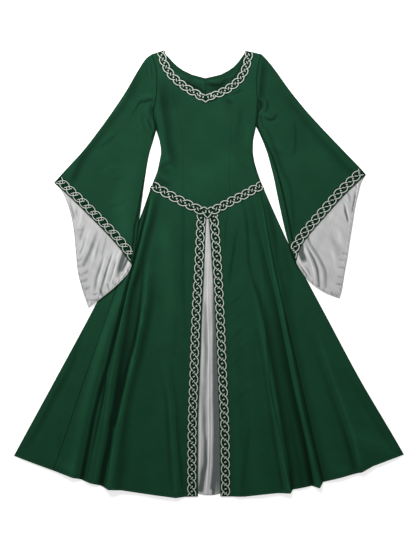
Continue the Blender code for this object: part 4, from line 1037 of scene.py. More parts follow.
def add_node(tree: bpy.types.NodeTree, kind: str, settings: dict | None = None,
             links: dict | None = None) -> bpy.types.Node:
    """Adds one node.

    Args:
        tree: the material's node tree.
        kind: Blender's name of the node type.
        settings: properties by name, and values of sockets by name or number.
        links: input sockets by name or number, each with the output socket that feeds it.

    Returns:
        The node.
    """
    node = tree.nodes.new(kind)
    for key, value in (settings or {}).items():
        if isinstance(key, str) and hasattr(node, key) and key not in node.inputs:
            setattr(node, key, value)
        else:
            node.inputs[key].default_value = value
    for key, output in (links or {}).items():
        tree.links.new(output, node.inputs[key])
    return node


def new_material(name: str) -> tuple[bpy.types.Material, bpy.types.NodeTree, bpy.types.Node]:
    """A material with a Principled shader and nothing else, its tree and its shader.

    Args:
        name: the material's name.

    Returns:
        The material, its node tree and its shader.
    """
    material = bpy.data.materials.new(name)
    material.use_nodes = True
    tree = material.node_tree
    return material, tree, tree.nodes["Principled BSDF"]


@dataclass(frozen=True)
class Crepe:
    """Polyester crepe, woven of hard-twisted yarn: matte, finely pebbled, with a faint even sheen."""

    name: str = "woven_crepe_bottle_green"
    level: str = "18432d"
    # hollow is painted shade for the troughs of folds, crest is painted highlight for their ridges
    hollow: str = "03120a"
    crest: str = "215439"
    pebble: float = 1.8      # millimetres: the real 0.5 is too fine to show, so it is drawn coarser
    slub: float = 14.0       # length of the slight streaks that run with the warp
    mottle: float = 70.0     # size of the slow change of tone over the cloth

    def build(self) -> bpy.types.Material:
        """Makes the material.

        Returns:
            The material.
        """
        material, tree, shader = new_material(self.name)
        place = add_node(tree, "ShaderNodeTexCoord")
        # The painted fold shading picks a colour between the painted shade, the level colour and the painted
        # highlight
        fold = add_node(tree, "ShaderNodeAttribute", {"attribute_name": "painted_fold_shading"})
        tone = add_node(tree, "ShaderNodeValToRGB", links={"Fac": fold.outputs["Fac"]})
        ramp = tone.color_ramp
        ramp.interpolation = "B_SPLINE"
        ramp.elements[0].color, ramp.elements[1].color = linear(self.hollow), linear(self.crest)
        ramp.elements.new(0.5).color = linear(self.level)
        slow = add_node(tree, "ShaderNodeTexNoise", {"Scale": 1000 / self.mottle, "Detail": 2.0},
                        {"Vector": place.outputs["Object"]})
        warp = add_node(tree, "ShaderNodeMapping", {"Scale": (1000 / self.pebble, 1000 / self.slub, 1.0)},
                        {"Vector": place.outputs["Object"]})
        streak = add_node(tree, "ShaderNodeTexNoise", {"Scale": 1.0, "Detail": 2.0},
                          {"Vector": warp.outputs["Vector"]})
        drift = add_node(tree, "ShaderNodeMapRange", {"From Min": 0.3, "From Max": 0.7, "To Min": 0.94,
                                                      "To Max": 1.06}, {"Value": slow.outputs["Fac"]})
        fleck = add_node(tree, "ShaderNodeMapRange", {"From Min": 0.3, "From Max": 0.7, "To Min": 0.95,
                                                      "To Max": 1.05}, {"Value": streak.outputs["Fac"]})
        amount = add_node(tree, "ShaderNodeMath", {"operation": "MULTIPLY"},
                          {0: drift.outputs["Result"], 1: fleck.outputs["Result"]})
        colour = add_node(tree, "ShaderNodeVectorMath", {"operation": "SCALE"},
                          {0: tone.outputs["Color"], "Scale": amount.outputs["Value"]})
        tree.links.new(colour.outputs["Vector"], shader.inputs["Base Color"])
        grain = add_node(tree, "ShaderNodeTexVoronoi", {"Scale": 1000 / self.pebble},
                         {"Vector": place.outputs["Object"]})
        bump = add_node(tree, "ShaderNodeBump", {"Strength": 0.25, "Distance": 0.0003},
                        {"Height": grain.outputs["Distance"]})
        tree.links.new(bump.outputs["Normal"], shader.inputs["Normal"])
        shader.inputs["Roughness"].default_value = 0.8
        shader.inputs["Specular IOR Level"].default_value = 0.06
        return material


@dataclass(frozen=True)
class Satin:
    """Polyester satin, warp floats over a dull back: long soft highlights that run along its folds, partly from
    its sheen and partly painted into its colour.
    """

    name: str = "woven_satin_silver"
    level: str = "c5c6c5"
    # hollow is painted shade for the troughs of folds, crest is painted highlight for their ridges
    hollow: str = "1c322f"
    crest: str = "f4f3f2"
    float_width: float = 1.2     # millimetres: real floats are 0.1 wide, drawn coarser so that they show
    float_length: float = 26.0

    def build(self) -> bpy.types.Material:
        """Makes the material.

        Returns:
            The material.
        """
        material, tree, shader = new_material(self.name)
        place = add_node(tree, "ShaderNodeUVMap", {"uv_map": "cloth"})
        fold = add_node(tree, "ShaderNodeAttribute", {"attribute_name": "painted_fold_shading"})
        floats = add_node(tree, "ShaderNodeMapping",
                          {"Scale": (1000 / self.float_width, 1000 / self.float_length, 1.0)},
                          {"Vector": place.outputs["UV"]})
        streak = add_node(tree, "ShaderNodeTexNoise", {"Scale": 1.0, "Detail": 2.0},
                          {"Vector": floats.outputs["Vector"]})
        shift = add_node(tree, "ShaderNodeMapRange", {"From Min": 0.3, "From Max": 0.7, "To Min": -0.05,
                                                      "To Max": 0.05}, {"Value": streak.outputs["Fac"]})
        place_on_ramp = add_node(tree, "ShaderNodeMath", {"operation": "ADD"},
                                 {0: fold.outputs["Fac"], 1: shift.outputs["Result"]})
        tone = add_node(tree, "ShaderNodeValToRGB", links={"Fac": place_on_ramp.outputs["Value"]})
        ramp = tone.color_ramp
        ramp.interpolation = "B_SPLINE"
        ramp.elements[0].color, ramp.elements[1].color = linear(self.hollow), linear(self.crest)
        ramp.elements.new(0.5).color = linear(self.level)
        tree.links.new(tone.outputs["Color"], shader.inputs["Base Color"])
        # A hollow sees little of the lamp, so its shine is darkened and cooled with its colour
        tree.links.new(tone.outputs["Color"], shader.inputs["Specular Tint"])
        bump = add_node(tree, "ShaderNodeBump", {"Strength": 0.12, "Distance": 0.0002},
                        {"Height": streak.outputs["Fac"]})
        tree.links.new(bump.outputs["Normal"], shader.inputs["Normal"])
        shader.inputs["Roughness"].default_value = 0.36
        shader.inputs["Anisotropic"].default_value = 0.5
        shader.inputs["Sheen Weight"].default_value = 0.1
        return material


@dataclass(frozen=True)
class SatinStitch:
    """Machine embroidery in silver-grey rayon: short threads laid side by side across each strand."""

    name: str = "embroidered_rayon_silver"
    # Painted highlight along each strand's crest and painted shade on its sides
    painted_highlight_colour: str = "cdd2c9"
    painted_shade_colour: str = "545c54"
    thread: float = 0.9      # millimetres: real threads are 0.4 wide, drawn coarser so that they show

    def build(self) -> bpy.types.Material:
        """Makes the material.

        Returns:
            The material.
        """
        material, tree, shader = new_material(self.name)
        place = add_node(tree, "ShaderNodeUVMap", {"uv_map": "cloth"})
        fold = add_node(tree, "ShaderNodeAttribute", {"attribute_name": "painted_fold_shading"})
        threads = add_node(tree, "ShaderNodeTexWave", {"Scale": 1000 / self.thread / (2 * math.pi),
                                                       "Distortion": 0.4, "Detail": 1.0},
                           {"Vector": place.outputs["UV"]})
        colour = add_node(tree, "ShaderNodeMix",
                          {"data_type": "RGBA", 6: linear(self.painted_shade_colour), 7: linear(self.painted_highlight_colour)},
                          {0: fold.outputs["Fac"]})
        tree.links.new(colour.outputs[2], shader.inputs["Base Color"])
        bump = add_node(tree, "ShaderNodeBump", {"Strength": 0.5, "Distance": 0.0003},
                        {"Height": threads.outputs["Fac"]})
        tree.links.new(bump.outputs["Normal"], shader.inputs["Normal"])
        shader.inputs["Roughness"].default_value = 0.42
        shader.inputs["Anisotropic"].default_value = 0.4
        shader.inputs["Sheen Weight"].default_value = 0.15
        return material


@dataclass(frozen=True)
class BandGround:
    """Tight, slightly ribbed twill under the embroidery: a deeper and cleaner green than the crepe."""

    name: str = "woven_twill_deep_green"
    level: str = "00220f"
    rib: str = "022c17"
    rib_pitch: float = 1.6   # millimetres: real ribs are 0.5 apart, drawn coarser so that they show

    def build(self) -> bpy.types.Material:
        """Makes the material.

        Returns:
            The material.
        """
        material, tree, shader = new_material(self.name)
        place = add_node(tree, "ShaderNodeTexCoord")
        ribs = add_node(tree, "ShaderNodeTexWave",
                        {"bands_direction": "DIAGONAL", "Scale": 1000 / self.rib_pitch / (2 * math.pi),
                         "Distortion": 0.6}, {"Vector": place.outputs["Object"]})
        colour = add_node(tree, "ShaderNodeMix", {"data_type": "RGBA"}, {0: ribs.outputs["Fac"]})
        colour.inputs[6].default_value, colour.inputs[7].default_value = linear(self.level), linear(self.rib)
        tree.links.new(colour.outputs[2], shader.inputs["Base Color"])
        bump = add_node(tree, "ShaderNodeBump", {"Strength": 0.3, "Distance": 0.0002},
                        {"Height": ribs.outputs["Fac"]})
        tree.links.new(bump.outputs["Normal"], shader.inputs["Normal"])
        shader.inputs["Roughness"].default_value = 0.8
        shader.inputs["Specular IOR Level"].default_value = 0.08
        return material


@dataclass(frozen=True)
class SewingThread:
    """Spun polyester thread, a shade darker than the cloth that it holds."""

    name: str
    colour: str

    def build(self) -> bpy.types.Material:
        """Makes the material.

        Returns:
            The material.
        """
        material, tree, shader = new_material(self.name)
        place = add_node(tree, "ShaderNodeUVMap", {"uv_map": "cloth"})
        twist = add_node(tree, "ShaderNodeTexNoise", {"Scale": 1500.0}, {"Vector": place.outputs["UV"]})
        bump = add_node(tree, "ShaderNodeBump", {"Strength": 0.4, "Distance": 0.0001},
                        {"Height": twist.outputs["Fac"]})
        tree.links.new(bump.outputs["Normal"], shader.inputs["Normal"])
        shader.inputs["Base Color"].default_value = linear(self.colour)
        shader.inputs["Roughness"].default_value = 0.55
        return material


@dataclass
class Finishes:
    """Every finish of the gown, made once."""

    crepe: bpy.types.Material = field(default_factory=lambda: Crepe().build())
    satin: bpy.types.Material = field(default_factory=lambda: Satin().build())
    strand: bpy.types.Material = field(default_factory=lambda: SatinStitch().build())
    ground: bpy.types.Material = field(default_factory=lambda: BandGround().build())
    green_thread: bpy.types.Material = field(
        default_factory=lambda: SewingThread("spun_thread_green", "12321f").build())


@dataclass
class Skirt:
    """Four overskirt panels, cut apart at the opening and at the gore seams."""

    finishes: Finishes
    column_width: float = 4.2
    narrow_column: float = 2.6
    steep_width: float = 32.0      # a step between lines is steep where it is narrower than this at the hem
    row_height: float = 6.5
    edge_columns: tuple[float, ...] = (1.1, 2.3)
    hem_rows: tuple[float, ...] = (36, 29, 23, 18, 14, 11.6, 10, 8.4, 6.8, 4.6, 2.6, 1.1, 0)
    side_fade: float = 45.0        # the loose air under the cloth fades out over these, towards its edges
    band_fade: float = 30.0
    waist_fade: float = 60.0

    @staticmethod
    def rise(lines: Sequence[SkirtLine], across: np.ndarray, down: np.ndarray) -> np.ndarray:
        """Height of the main folds, on a smooth curve from line to line.

        Args:
            lines: the lines of one half of the skirt, from left to right.
            across: places across.
            down: places down.

        Returns:
            Heights in millimetres.
        """
        shape = across.shape
        across, down = across.ravel(), down.ravel()
        places = np.stack([line_across(line, down) for line in lines])
        rises = np.stack([line_rise(line, down) for line in lines])
        spans = np.maximum(np.diff(places, axis=0), 1e-6)
        slopes = np.diff(rises, axis=0) / spans
        tangents = np.zeros_like(rises)
        tangents[1:-1] = knot_slopes(slopes)
        here = np.clip((places[1:-1] <= across).sum(axis=0), 0, len(lines) - 2)
        pick = np.arange(len(across))
        late = np.array([line.late for line in lines])[here]
        span = spans[here, pick]
        t = np.clip((across - places[here, pick]) / span, 0.0, 1.0) ** late
        ends = rises[here, pick], rises[here + 1, pick]
        curve = between(t, span, ends, (tangents[here, pick], tangents[here + 1, pick]))
        return curve.reshape(shape)

    @staticmethod
    def satin_lift(across: np.ndarray, down: np.ndarray) -> np.ndarray:
        """How far the overskirt is lifted by the inset under its edge.

        Args:
            across: places across.
            down: places down, in the same shape.

        Returns:
            Heights in millimetres, in the same shape.
        """
        left, right = line_across(SKIRT_LEFT[-1], down), line_across(SKIRT_RIGHT[0], down)
        distance = np.where(across < (left + right) / 2, left - across, across - right)
        return SATIN_LIFT * (1.0 - smoothstep((distance - SATIN_LIFT_FROM) / SATIN_LIFT_FADE))

    def top(self, across: np.ndarray, down: np.ndarray) -> np.ndarray:
        """Height of the overskirt's upper face, without its sewing.

        Args:
            across: places across.
            down: places down, in the same shape.

        Returns:
            Heights in millimetres, in the same shape.
        """
        middle = (line_across(SKIRT_LEFT[-1], down) + line_across(SKIRT_RIGHT[0], down)) / 2
        rise = np.where(across < middle, self.rise(SKIRT_LEFT, across, down),
                        self.rise(SKIRT_RIGHT, across, down))
        outer = np.minimum(across - line_across(SKIRT_LEFT[0], down),
                           line_across(SKIRT_RIGHT[-1], down) - across)
        band = np.where(across < middle, line_across(SKIRT_LEFT[-2], down) - across,
                        across - line_across(SKIRT_RIGHT[1], down))
        inside = smoothstep(np.minimum(outer / self.side_fade, band / self.band_fade))
        inside = inside * smoothstep((down - waist_down(across)) / self.waist_fade)
        folds = rise + relief(SKIRT_CREASES, across, down) + SKIRT_AIR * inside
        return FRONT_TOP + self.satin_lift(across, down) + mix(rise, settled(folds), smoothstep(inside * 4.0))

    @staticmethod
    def hem_down(lines: Sequence[SkirtLine], across: np.ndarray) -> np.ndarray:
        """Depth of the hem of one half."""
        return np.interp(across, [line.hem for line in lines], [line.hem_down for line in lines])

    def build_panel(self, name: str, node: str, lines: Sequence[SkirtLine], first: int, last: int,
                    seams: tuple[bool, bool]) -> None:
        """Builds one panel between two of its half's lines.

        Args:
            name: the piece's name.
            node: the solid that it stands for.
            lines: the lines of its half.
            first: number of its first line.
            last: number of its last line.
            seams: whether its left and right edges are gore seams, where it meets the next panel.
        """
        columns = []
        for index in range(first, last):
            width = lines[index + 1].hem - lines[index].hem
            step = self.narrow_column if width < self.steep_width else self.column_width
            count = max(2, round(width / step))
            parts = [part / count for part in range(count)]
            if index == first:
                parts[1:1] = [offset / width for offset in self.edge_columns if offset < width / count]
            if index == last - 1:
                parts += [1 - offset / width for offset in self.edge_columns[::-1] if offset < width / count]
            columns += [(index, part) for part in parts]
        columns.append((last - 1, 1.0))
        rows = round((lines[first].hem_down - 500.0) / self.row_height)
        across, down, reach = [], [], []
        for index, part in columns:
            left, right = lines[index], lines[index + 1]
            top = waist_down(mix(left.waist, right.waist, part)) + LAYER_GAP / 2
            hem = mix(left.hem_down, right.hem_down, part)
            body = mix(top, hem - self.hem_rows[0], np.arange(rows) / rows)
            depth = np.concatenate((body, hem - np.array(self.hem_rows)))
            down.append(depth)
            across.append(mix(line_across(left, depth), line_across(right, depth), part))
            reach.append(hem - depth)
        across, down, reach = (np.array(values).T for values in (across, down, reach))
        top = self.top(across, down) + hem_form(reach, across)
        # Painted shade and highlight of the creases and the hem, and painted shade along the gore seams and the
        # edges
        painted_shading_heights = relief(SKIRT_CREASES, across, down) + hem_painted_shading(reach)
        for edge, is_seam in ((first, seams[0]), (last, seams[1])):
            distance = across - line_across(lines[edge], down)
            if is_seam:
                top -= seam_roll(distance)
                painted_shading_heights += edge_painted_shading(distance, 4.0, 3.4)
            else:
                top -= seam_roll(distance, 2 * EDGE_ROLL, 2 * EDGE_ROLL_REACH)
                painted_shading_heights += edge_painted_shading(distance, 1.4, 3.0)
        wall = grid_wall(across, down, top, CREPE_THICK, painted_shading_heights, CREPE_PAINTED_SHADING)
        piece = make_piece(name, [wall], self.finishes.crepe)
        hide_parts(node)

    def build(self) -> None:
        """Builds the four panels."""
        last_left, last_right = len(SKIRT_LEFT) - 1, len(SKIRT_RIGHT) - 1
        self.build_panel("crepe_skirt_side_left", "skirt_side_left", SKIRT_LEFT, 0, LEFT_GORE_SEAM,
                         (False, True))
        self.build_panel("crepe_skirt_front_left", "skirt_front_left", SKIRT_LEFT, LEFT_GORE_SEAM, last_left,
                         (True, False))
        self.build_panel("crepe_skirt_front_right", "skirt_front_right", SKIRT_RIGHT, 0, RIGHT_GORE_SEAM,
                         (False, True))
        self.build_panel("crepe_skirt_side_right", "skirt_side_right", SKIRT_RIGHT, RIGHT_GORE_SEAM,
                         last_right, (True, False))


@dataclass
class Inset:
    """The satin panel behind the front opening."""

    finishes: Finishes
    columns: int = 56
    rows: int = 190

    def build(self) -> None:
        """Builds the panel, tucked under both edges of the opening."""
        shares = np.concatenate(([-1.0, -0.5], np.linspace(0, 1, self.columns + 1), [1.5, 2.0]))
        at = np.clip(shares, 0.0, 1.0)
        hem = INSET_HEM + INSET_HEM_SAG * (1.0 - (2.0 * at - 1.0) ** 2)
        steps = np.linspace(0, 1, self.rows + 1)[:, None]
        down = mix(INSET_TOP, hem[None, :], steps)
        left, right = line_across(SKIRT_LEFT[-1], down), line_across(SKIRT_RIGHT[0], down)
        tuck = np.where(shares < 0, shares, np.maximum(shares - 1.0, 0.0)) * INSET_TUCK
        across = mix(left, right, at[None, :]) + tuck[None, :]
        inside = smoothstep(np.minimum(at, 1 - at) * 12)[None, :]
        strength = smoothstep((down - INSET_TOP) / 500.0)
        folds = relief(INSET_CREASES, across, down)
        pucker = 1.0 * ripples(across, 5.5) * (1.0 - smoothstep((hem[None, :] - down) / 22.0))
        top = SATIN_LOW + SATIN_WALL + inside * settled(0.7 * strength * folds + pucker + 0.8, 0.8)
        band = np.minimum(np.abs(across - left), np.abs(across - right))
        slow = 0.5 * ripples(down + 3.0 * across, 160.0)
        # Painted shade and highlight of the folds, puckers and soft waves, painted shadow beside the bands and
        # painted shade at the hem
        painted_shading_heights = folds + pucker + slow + edge_painted_shading(band, 2.4, 5.0) + edge_painted_shading(hem[None, :] - down, 2.0, 2.5)
        wall = grid_wall(across, down, top, SATIN_THICK, painted_shading_heights, SATIN_PAINTED_SHADING)
        piece = make_piece("satin_inset", [wall], self.finishes.satin)
        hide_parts("skirt_inset")


@dataclass
class Bodice:
    """The two side fronts and the centre front, which meet at the princess seams."""

    finishes: Finishes
    steps: int = 8
    side_columns: int = 26
    centre_columns: int = 48
    seam_fade: tuple[float, float] = (120.0, 260.0)    # the seams are pressed flat near the neck

    @staticmethod
    def top(across: np.ndarray, down: np.ndarray) -> np.ndarray:
        """Height of the bodice's upper face, without its creases and sewing.

        Args:
            across: places across.
            down: places down, in the same shape.

        Returns:
            Heights in millimetres, in the same shape.
        """
        total = np.full(across.shape, FRONT_TOP)
        for centre, depth, half_across, half_down, rise in BUST_SWELLS:
            reach = np.hypot((across - centre) / half_across, (down - depth) / half_down)
            total = total + rise * (1.0 - smoothstep(reach))
        return total

    @staticmethod
    def edge(table: Sequence[BodiceRow], column: str, rows: np.ndarray) -> np.ndarray:
        """One column of a table of sections, on a smooth curve through its rows."""
        return through(np.arange(len(table), dtype=float), [getattr(row, column) for row in table], rows)

    def build_side(self, name: str, node: str, table: Sequence[BodiceRow], side: Side) -> None:
        """Builds one side front, from the shoulder to the waist seam.

        Args:
            name: the piece's name.
            node: the solid that it stands for.
            table: its sections.
            side: which side it is.
        """
        rows = np.linspace(0, len(table) - 1, self.steps * (len(table) - 1) + 1)[:, None]
        share = np.linspace(0, 1, self.side_columns + 1)[None, :]
        outer, outer_down = self.edge(table, "outer", rows), self.edge(table, "outer_down", rows)
        inner, inner_down = self.edge(table, "inner", rows), self.edge(table, "inner_down", rows)
        across = mix(outer, inner, share)
        down = mix(outer_down, inner_down, share)
        chord = mix(table[-1].outer_down, table[-1].inner_down, share)
        low = smoothstep((rows - (len(table) - 3)) / 2)
        down = down + low * (waist_down(across) - chord) * (rows / (len(table) - 1))
        below_neck = smoothstep((down - self.seam_fade[0]) / (self.seam_fade[1] - self.seam_fade[0]))
        folds = relief(BODICE_CREASES, across, down)
        sewing = seam_roll(across - inner, 0.7) * below_neck + seam_roll(across - outer, 1.0, 4.0)
        sewing = sewing + seam_roll(across - outer, 0.5, 26.0)
        top = self.top(across, down) + np.maximum(folds - sewing, -CREPE_WALL)
        armhole = smoothstep((ARMHOLE_ROWS + 0.5 - rows) * 2.0)
        # Painted shade along the princess seam and the outer edge, with painted shade and highlight of the
        # creases
        painted_shading_heights = folds + edge_painted_shading(across - inner, 0.6, 3.0) * below_neck
        painted_shading_heights += edge_painted_shading(across - outer, 1.6, 2.6)
        # Painted highlight along the outer edge on the left side and painted shade along it on the right side,
        # then painted shade at the armhole seam
        painted_shading_heights += edge_painted_shading(across - outer, 1.6 * side.value, 10.0) * (1 - armhole)
        painted_shading_heights += edge_painted_shading(across - outer, 1.5, 4.0) * armhole * mix(0.8, 1.8, rows / ARMHOLE_ROWS)
        if side is Side.RIGHT:
            across, down, top, painted_shading_heights = across[:, ::-1], down[:, ::-1], top[:, ::-1], painted_shading_heights[:, ::-1]
        wall = grid_wall(across, down, top, CREPE_THICK, painted_shading_heights, SMOOTH_PAINTED_SHADING)
        piece = make_piece(name, [wall], self.finishes.crepe)
        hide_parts(node)

    def build_centre(self) -> None:
        """Builds the centre front, from the neck edge to the point of the waist seam."""
        count = len(BODICE_LEFT) - 1 - NECK_ROWS
        rows = np.linspace(NECK_ROWS, len(BODICE_LEFT) - 1, self.steps * count + 1)[:, None]
        share = np.linspace(0, 1, self.centre_columns + 1)[None, :]
        share_down = (rows - NECK_ROWS) / count
        left, right = self.edge(BODICE_LEFT, "inner", rows), self.edge(BODICE_RIGHT, "inner", rows)
        left_down = self.edge(BODICE_LEFT, "inner_down", rows)
        right_down = self.edge(BODICE_RIGHT, "inner_down", rows)
        across = mix(left, right, share)
        neck = through([p[0] for p in FRONT_NECK], [p[1] for p in FRONT_NECK], across)
        neck = neck - mix(BODICE_LEFT[NECK_ROWS].inner_down, BODICE_RIGHT[NECK_ROWS].inner_down, share)
        point = waist_down(across)
        point = point - mix(BODICE_LEFT[-1].inner_down, BODICE_RIGHT[-1].inner_down, share)
        down = mix(left_down, right_down, share) + neck * (1 - share_down) ** 2 + point * share_down ** 2
        below_neck = smoothstep((down - self.seam_fade[0]) / (self.seam_fade[1] - self.seam_fade[0]))
        seams = (seam_roll(across - left, 0.7) + seam_roll(across - right, 0.7)) * below_neck
        folds = relief(BODICE_CREASES, across, down)
        top = self.top(across, down) + np.maximum(folds - seams, -CREPE_WALL)
        # Painted shade along both princess seams
        princess_seam_painted_shade = edge_painted_shading(across - left, 0.6, 3.0) + edge_painted_shading(across - right, 0.6, 3.0)
        wall = grid_wall(across, down, top, CREPE_THICK, folds + princess_seam_painted_shade * below_neck, SMOOTH_PAINTED_SHADING)
        piece = make_piece("crepe_bodice_front_centre", [wall], self.finishes.crepe)
        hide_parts("bodice_front_centre")

    def build(self) -> None:
        """Builds the three fronts."""
        self.build_side("crepe_bodice_side_left", "bodice_front_side_left", BODICE_LEFT, Side.LEFT)
        self.build_side("crepe_bodice_side_right", "bodice_front_side_right", BODICE_RIGHT, Side.RIGHT)
        self.build_centre()


@dataclass
class Back:
    """The two back panels, flat on the surface, which meet at the centre-back seam."""

    finishes: Finishes
    columns: int = 76
    rows: int = 150
    neck_rows: int = 44
    neck_share: float = 0.09       # the rows are closer where the back shows in the neck
    ripple: float = 0.5
    ripple_pitch: float = 150.0    # measured on the fan below
    ripple_from: float = 520.0     # depth where the waves begin
    fan_above: float = 150.0       # they fan out from a place this far above the shoulder
    fan_span: float = 1200.0       # distance from that place at which their pitch is measured

    def outline(self, table: Sequence[BodiceRow], edge: SkirtLine, side: Side) -> list[tuple[float, float]]:
        """Plan points of the outer edge, from the shoulder tip down to the corner of the hem.

        Args:
            table: sections of the bodice on its side.
            edge: the skirt's side edge.
            side: which side it is.

        Returns:
            Rows of a place across and a place down.
        """
        inset = side.value * BACK_INSET
        points = [(row.outer, row.outer_down) for row in table[:ARMHOLE_ROWS + 1]]
        points += [(row.outer - inset, row.outer_down) for row in table[ARMHOLE_ROWS + 1:-1]]
        corner = edge.hem - 4 * inset
        for _ in range(20):
            corner_down = BACK_HEM_CENTRE - BACK_HEM_DROP * corner ** 2
            corner = float(line_across(edge, corner_down)) - inset
        top = float(waist_down(edge.waist))
        for share in (0.0, 0.05, 0.12, 0.22, 0.34, 0.46, 0.58, 0.70, 0.82, 0.92, 1.0):
            down = mix(top, corner_down, share)
            points.append((float(line_across(edge, down)) - inset, down))
        return points

    def build_half(self, name: str, node: str, table: Sequence[BodiceRow], edge: SkirtLine,
                   side: Side) -> None:
        """Builds one half as a sheet stretched between its four edges.

        Args:
            name: the piece's name.
            node: the solid that it stands for.
            table: sections of the bodice on its side, for the armhole and the side seam.
            edge: the skirt's side edge.
            side: which side it is.
        """
        seam = CENTRE_BACK
        neck = sorted((place for place in BACK_NECK if (place[0] - seam) * side.value > 0),
                      key=lambda place: abs(place[0] - seam))
        head = [(seam, BACK_NECK_DEPTH), *neck, (table[0].outer, table[0].outer_down)]
        flank = self.outline(table, edge, side)
        u = np.linspace(0, 1, self.columns + 1)[None, :]
        near = np.linspace(0, self.neck_share, self.neck_rows + 1)
        far = np.linspace(self.neck_share, 1, self.rows)
        v = np.concatenate((near, far[1:]))[:, None]
        head_lengths, flank_lengths = run_lengths(head), run_lengths(flank)
        top = [np.interp(u * head_lengths[-1], head_lengths, [p[k] for p in head]) for k in (0, 1)]
        outer = [np.interp(v * flank_lengths[-1], flank_lengths, [p[k] for p in flank]) for k in (0, 1)]
        hem_across = mix(seam, flank[-1][0], u)
        bottom = [hem_across, BACK_HEM_CENTRE - BACK_HEM_DROP * hem_across ** 2]
        seam_end = BACK_HEM_CENTRE - BACK_HEM_DROP * seam ** 2
        middle = [np.full(v.shape, seam), mix(BACK_NECK_DEPTH, seam_end, v)]
        grid = []
        for k in (0, 1):
            corners = mix(mix(middle[k][0], outer[k][0], u), mix(middle[k][-1], outer[k][-1], u), v)
            grid.append(mix(top[k], bottom[k], v) + mix(middle[k], outer[k], u) - corners)
        across, down = grid
        reach = bottom[1] - down
        fan = across / np.maximum(down + self.fan_above, 300.0) * self.fan_span
        waves = self.ripple * (0.5 + 0.5 * ripples(fan, self.ripple_pitch))
        waves = waves * smoothstep((down - self.ripple_from) / 500.0)
        waves = waves * smoothstep(reach / 60.0 + 0.3) * smoothstep(np.abs(across - seam) / 30.0)
        seam_rise = 0.45 * (1.0 - smoothstep(np.abs(across - seam) / 3.5))
        low = np.maximum(waves, seam_rise)
        low = low + 0.4 * np.exp(-((reach - HEM_DEPTH) / 1.5) ** 2)
        folds = relief(NECK_BACK_CREASES, across, down)
        high = low * 0.3 + CREPE_WALL - 0.3 + 0.22 * folds - seam_rise
        # Painted shade over the whole back, deepest along the centre-back seam and at the neck edge, with
        # painted shade and highlight of the creases
        painted_shading_heights = folds - 1.1 + edge_painted_shading(across - seam, 1.4, 2.6) + edge_painted_shading(down - top[1], 2.0, 3.0)
        wall = grid_wall(across, down, high, CREPE_THICK, painted_shading_heights, SMOOTH_PAINTED_SHADING)
        wall.inner[:, 2] = low.ravel()
        if side is Side.LEFT:
            wall.faces = wall.faces[:, ::-1]
        piece = make_piece(name, [wall], self.finishes.crepe)
        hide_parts(node)

    def build(self) -> None:
        """Builds both halves."""
        self.build_half("crepe_back_left", "back_left", BODICE_LEFT, SKIRT_LEFT[0], Side.LEFT)
        self.build_half("crepe_back_right", "back_right", BODICE_RIGHT, SKIRT_RIGHT[-1], Side.RIGHT)


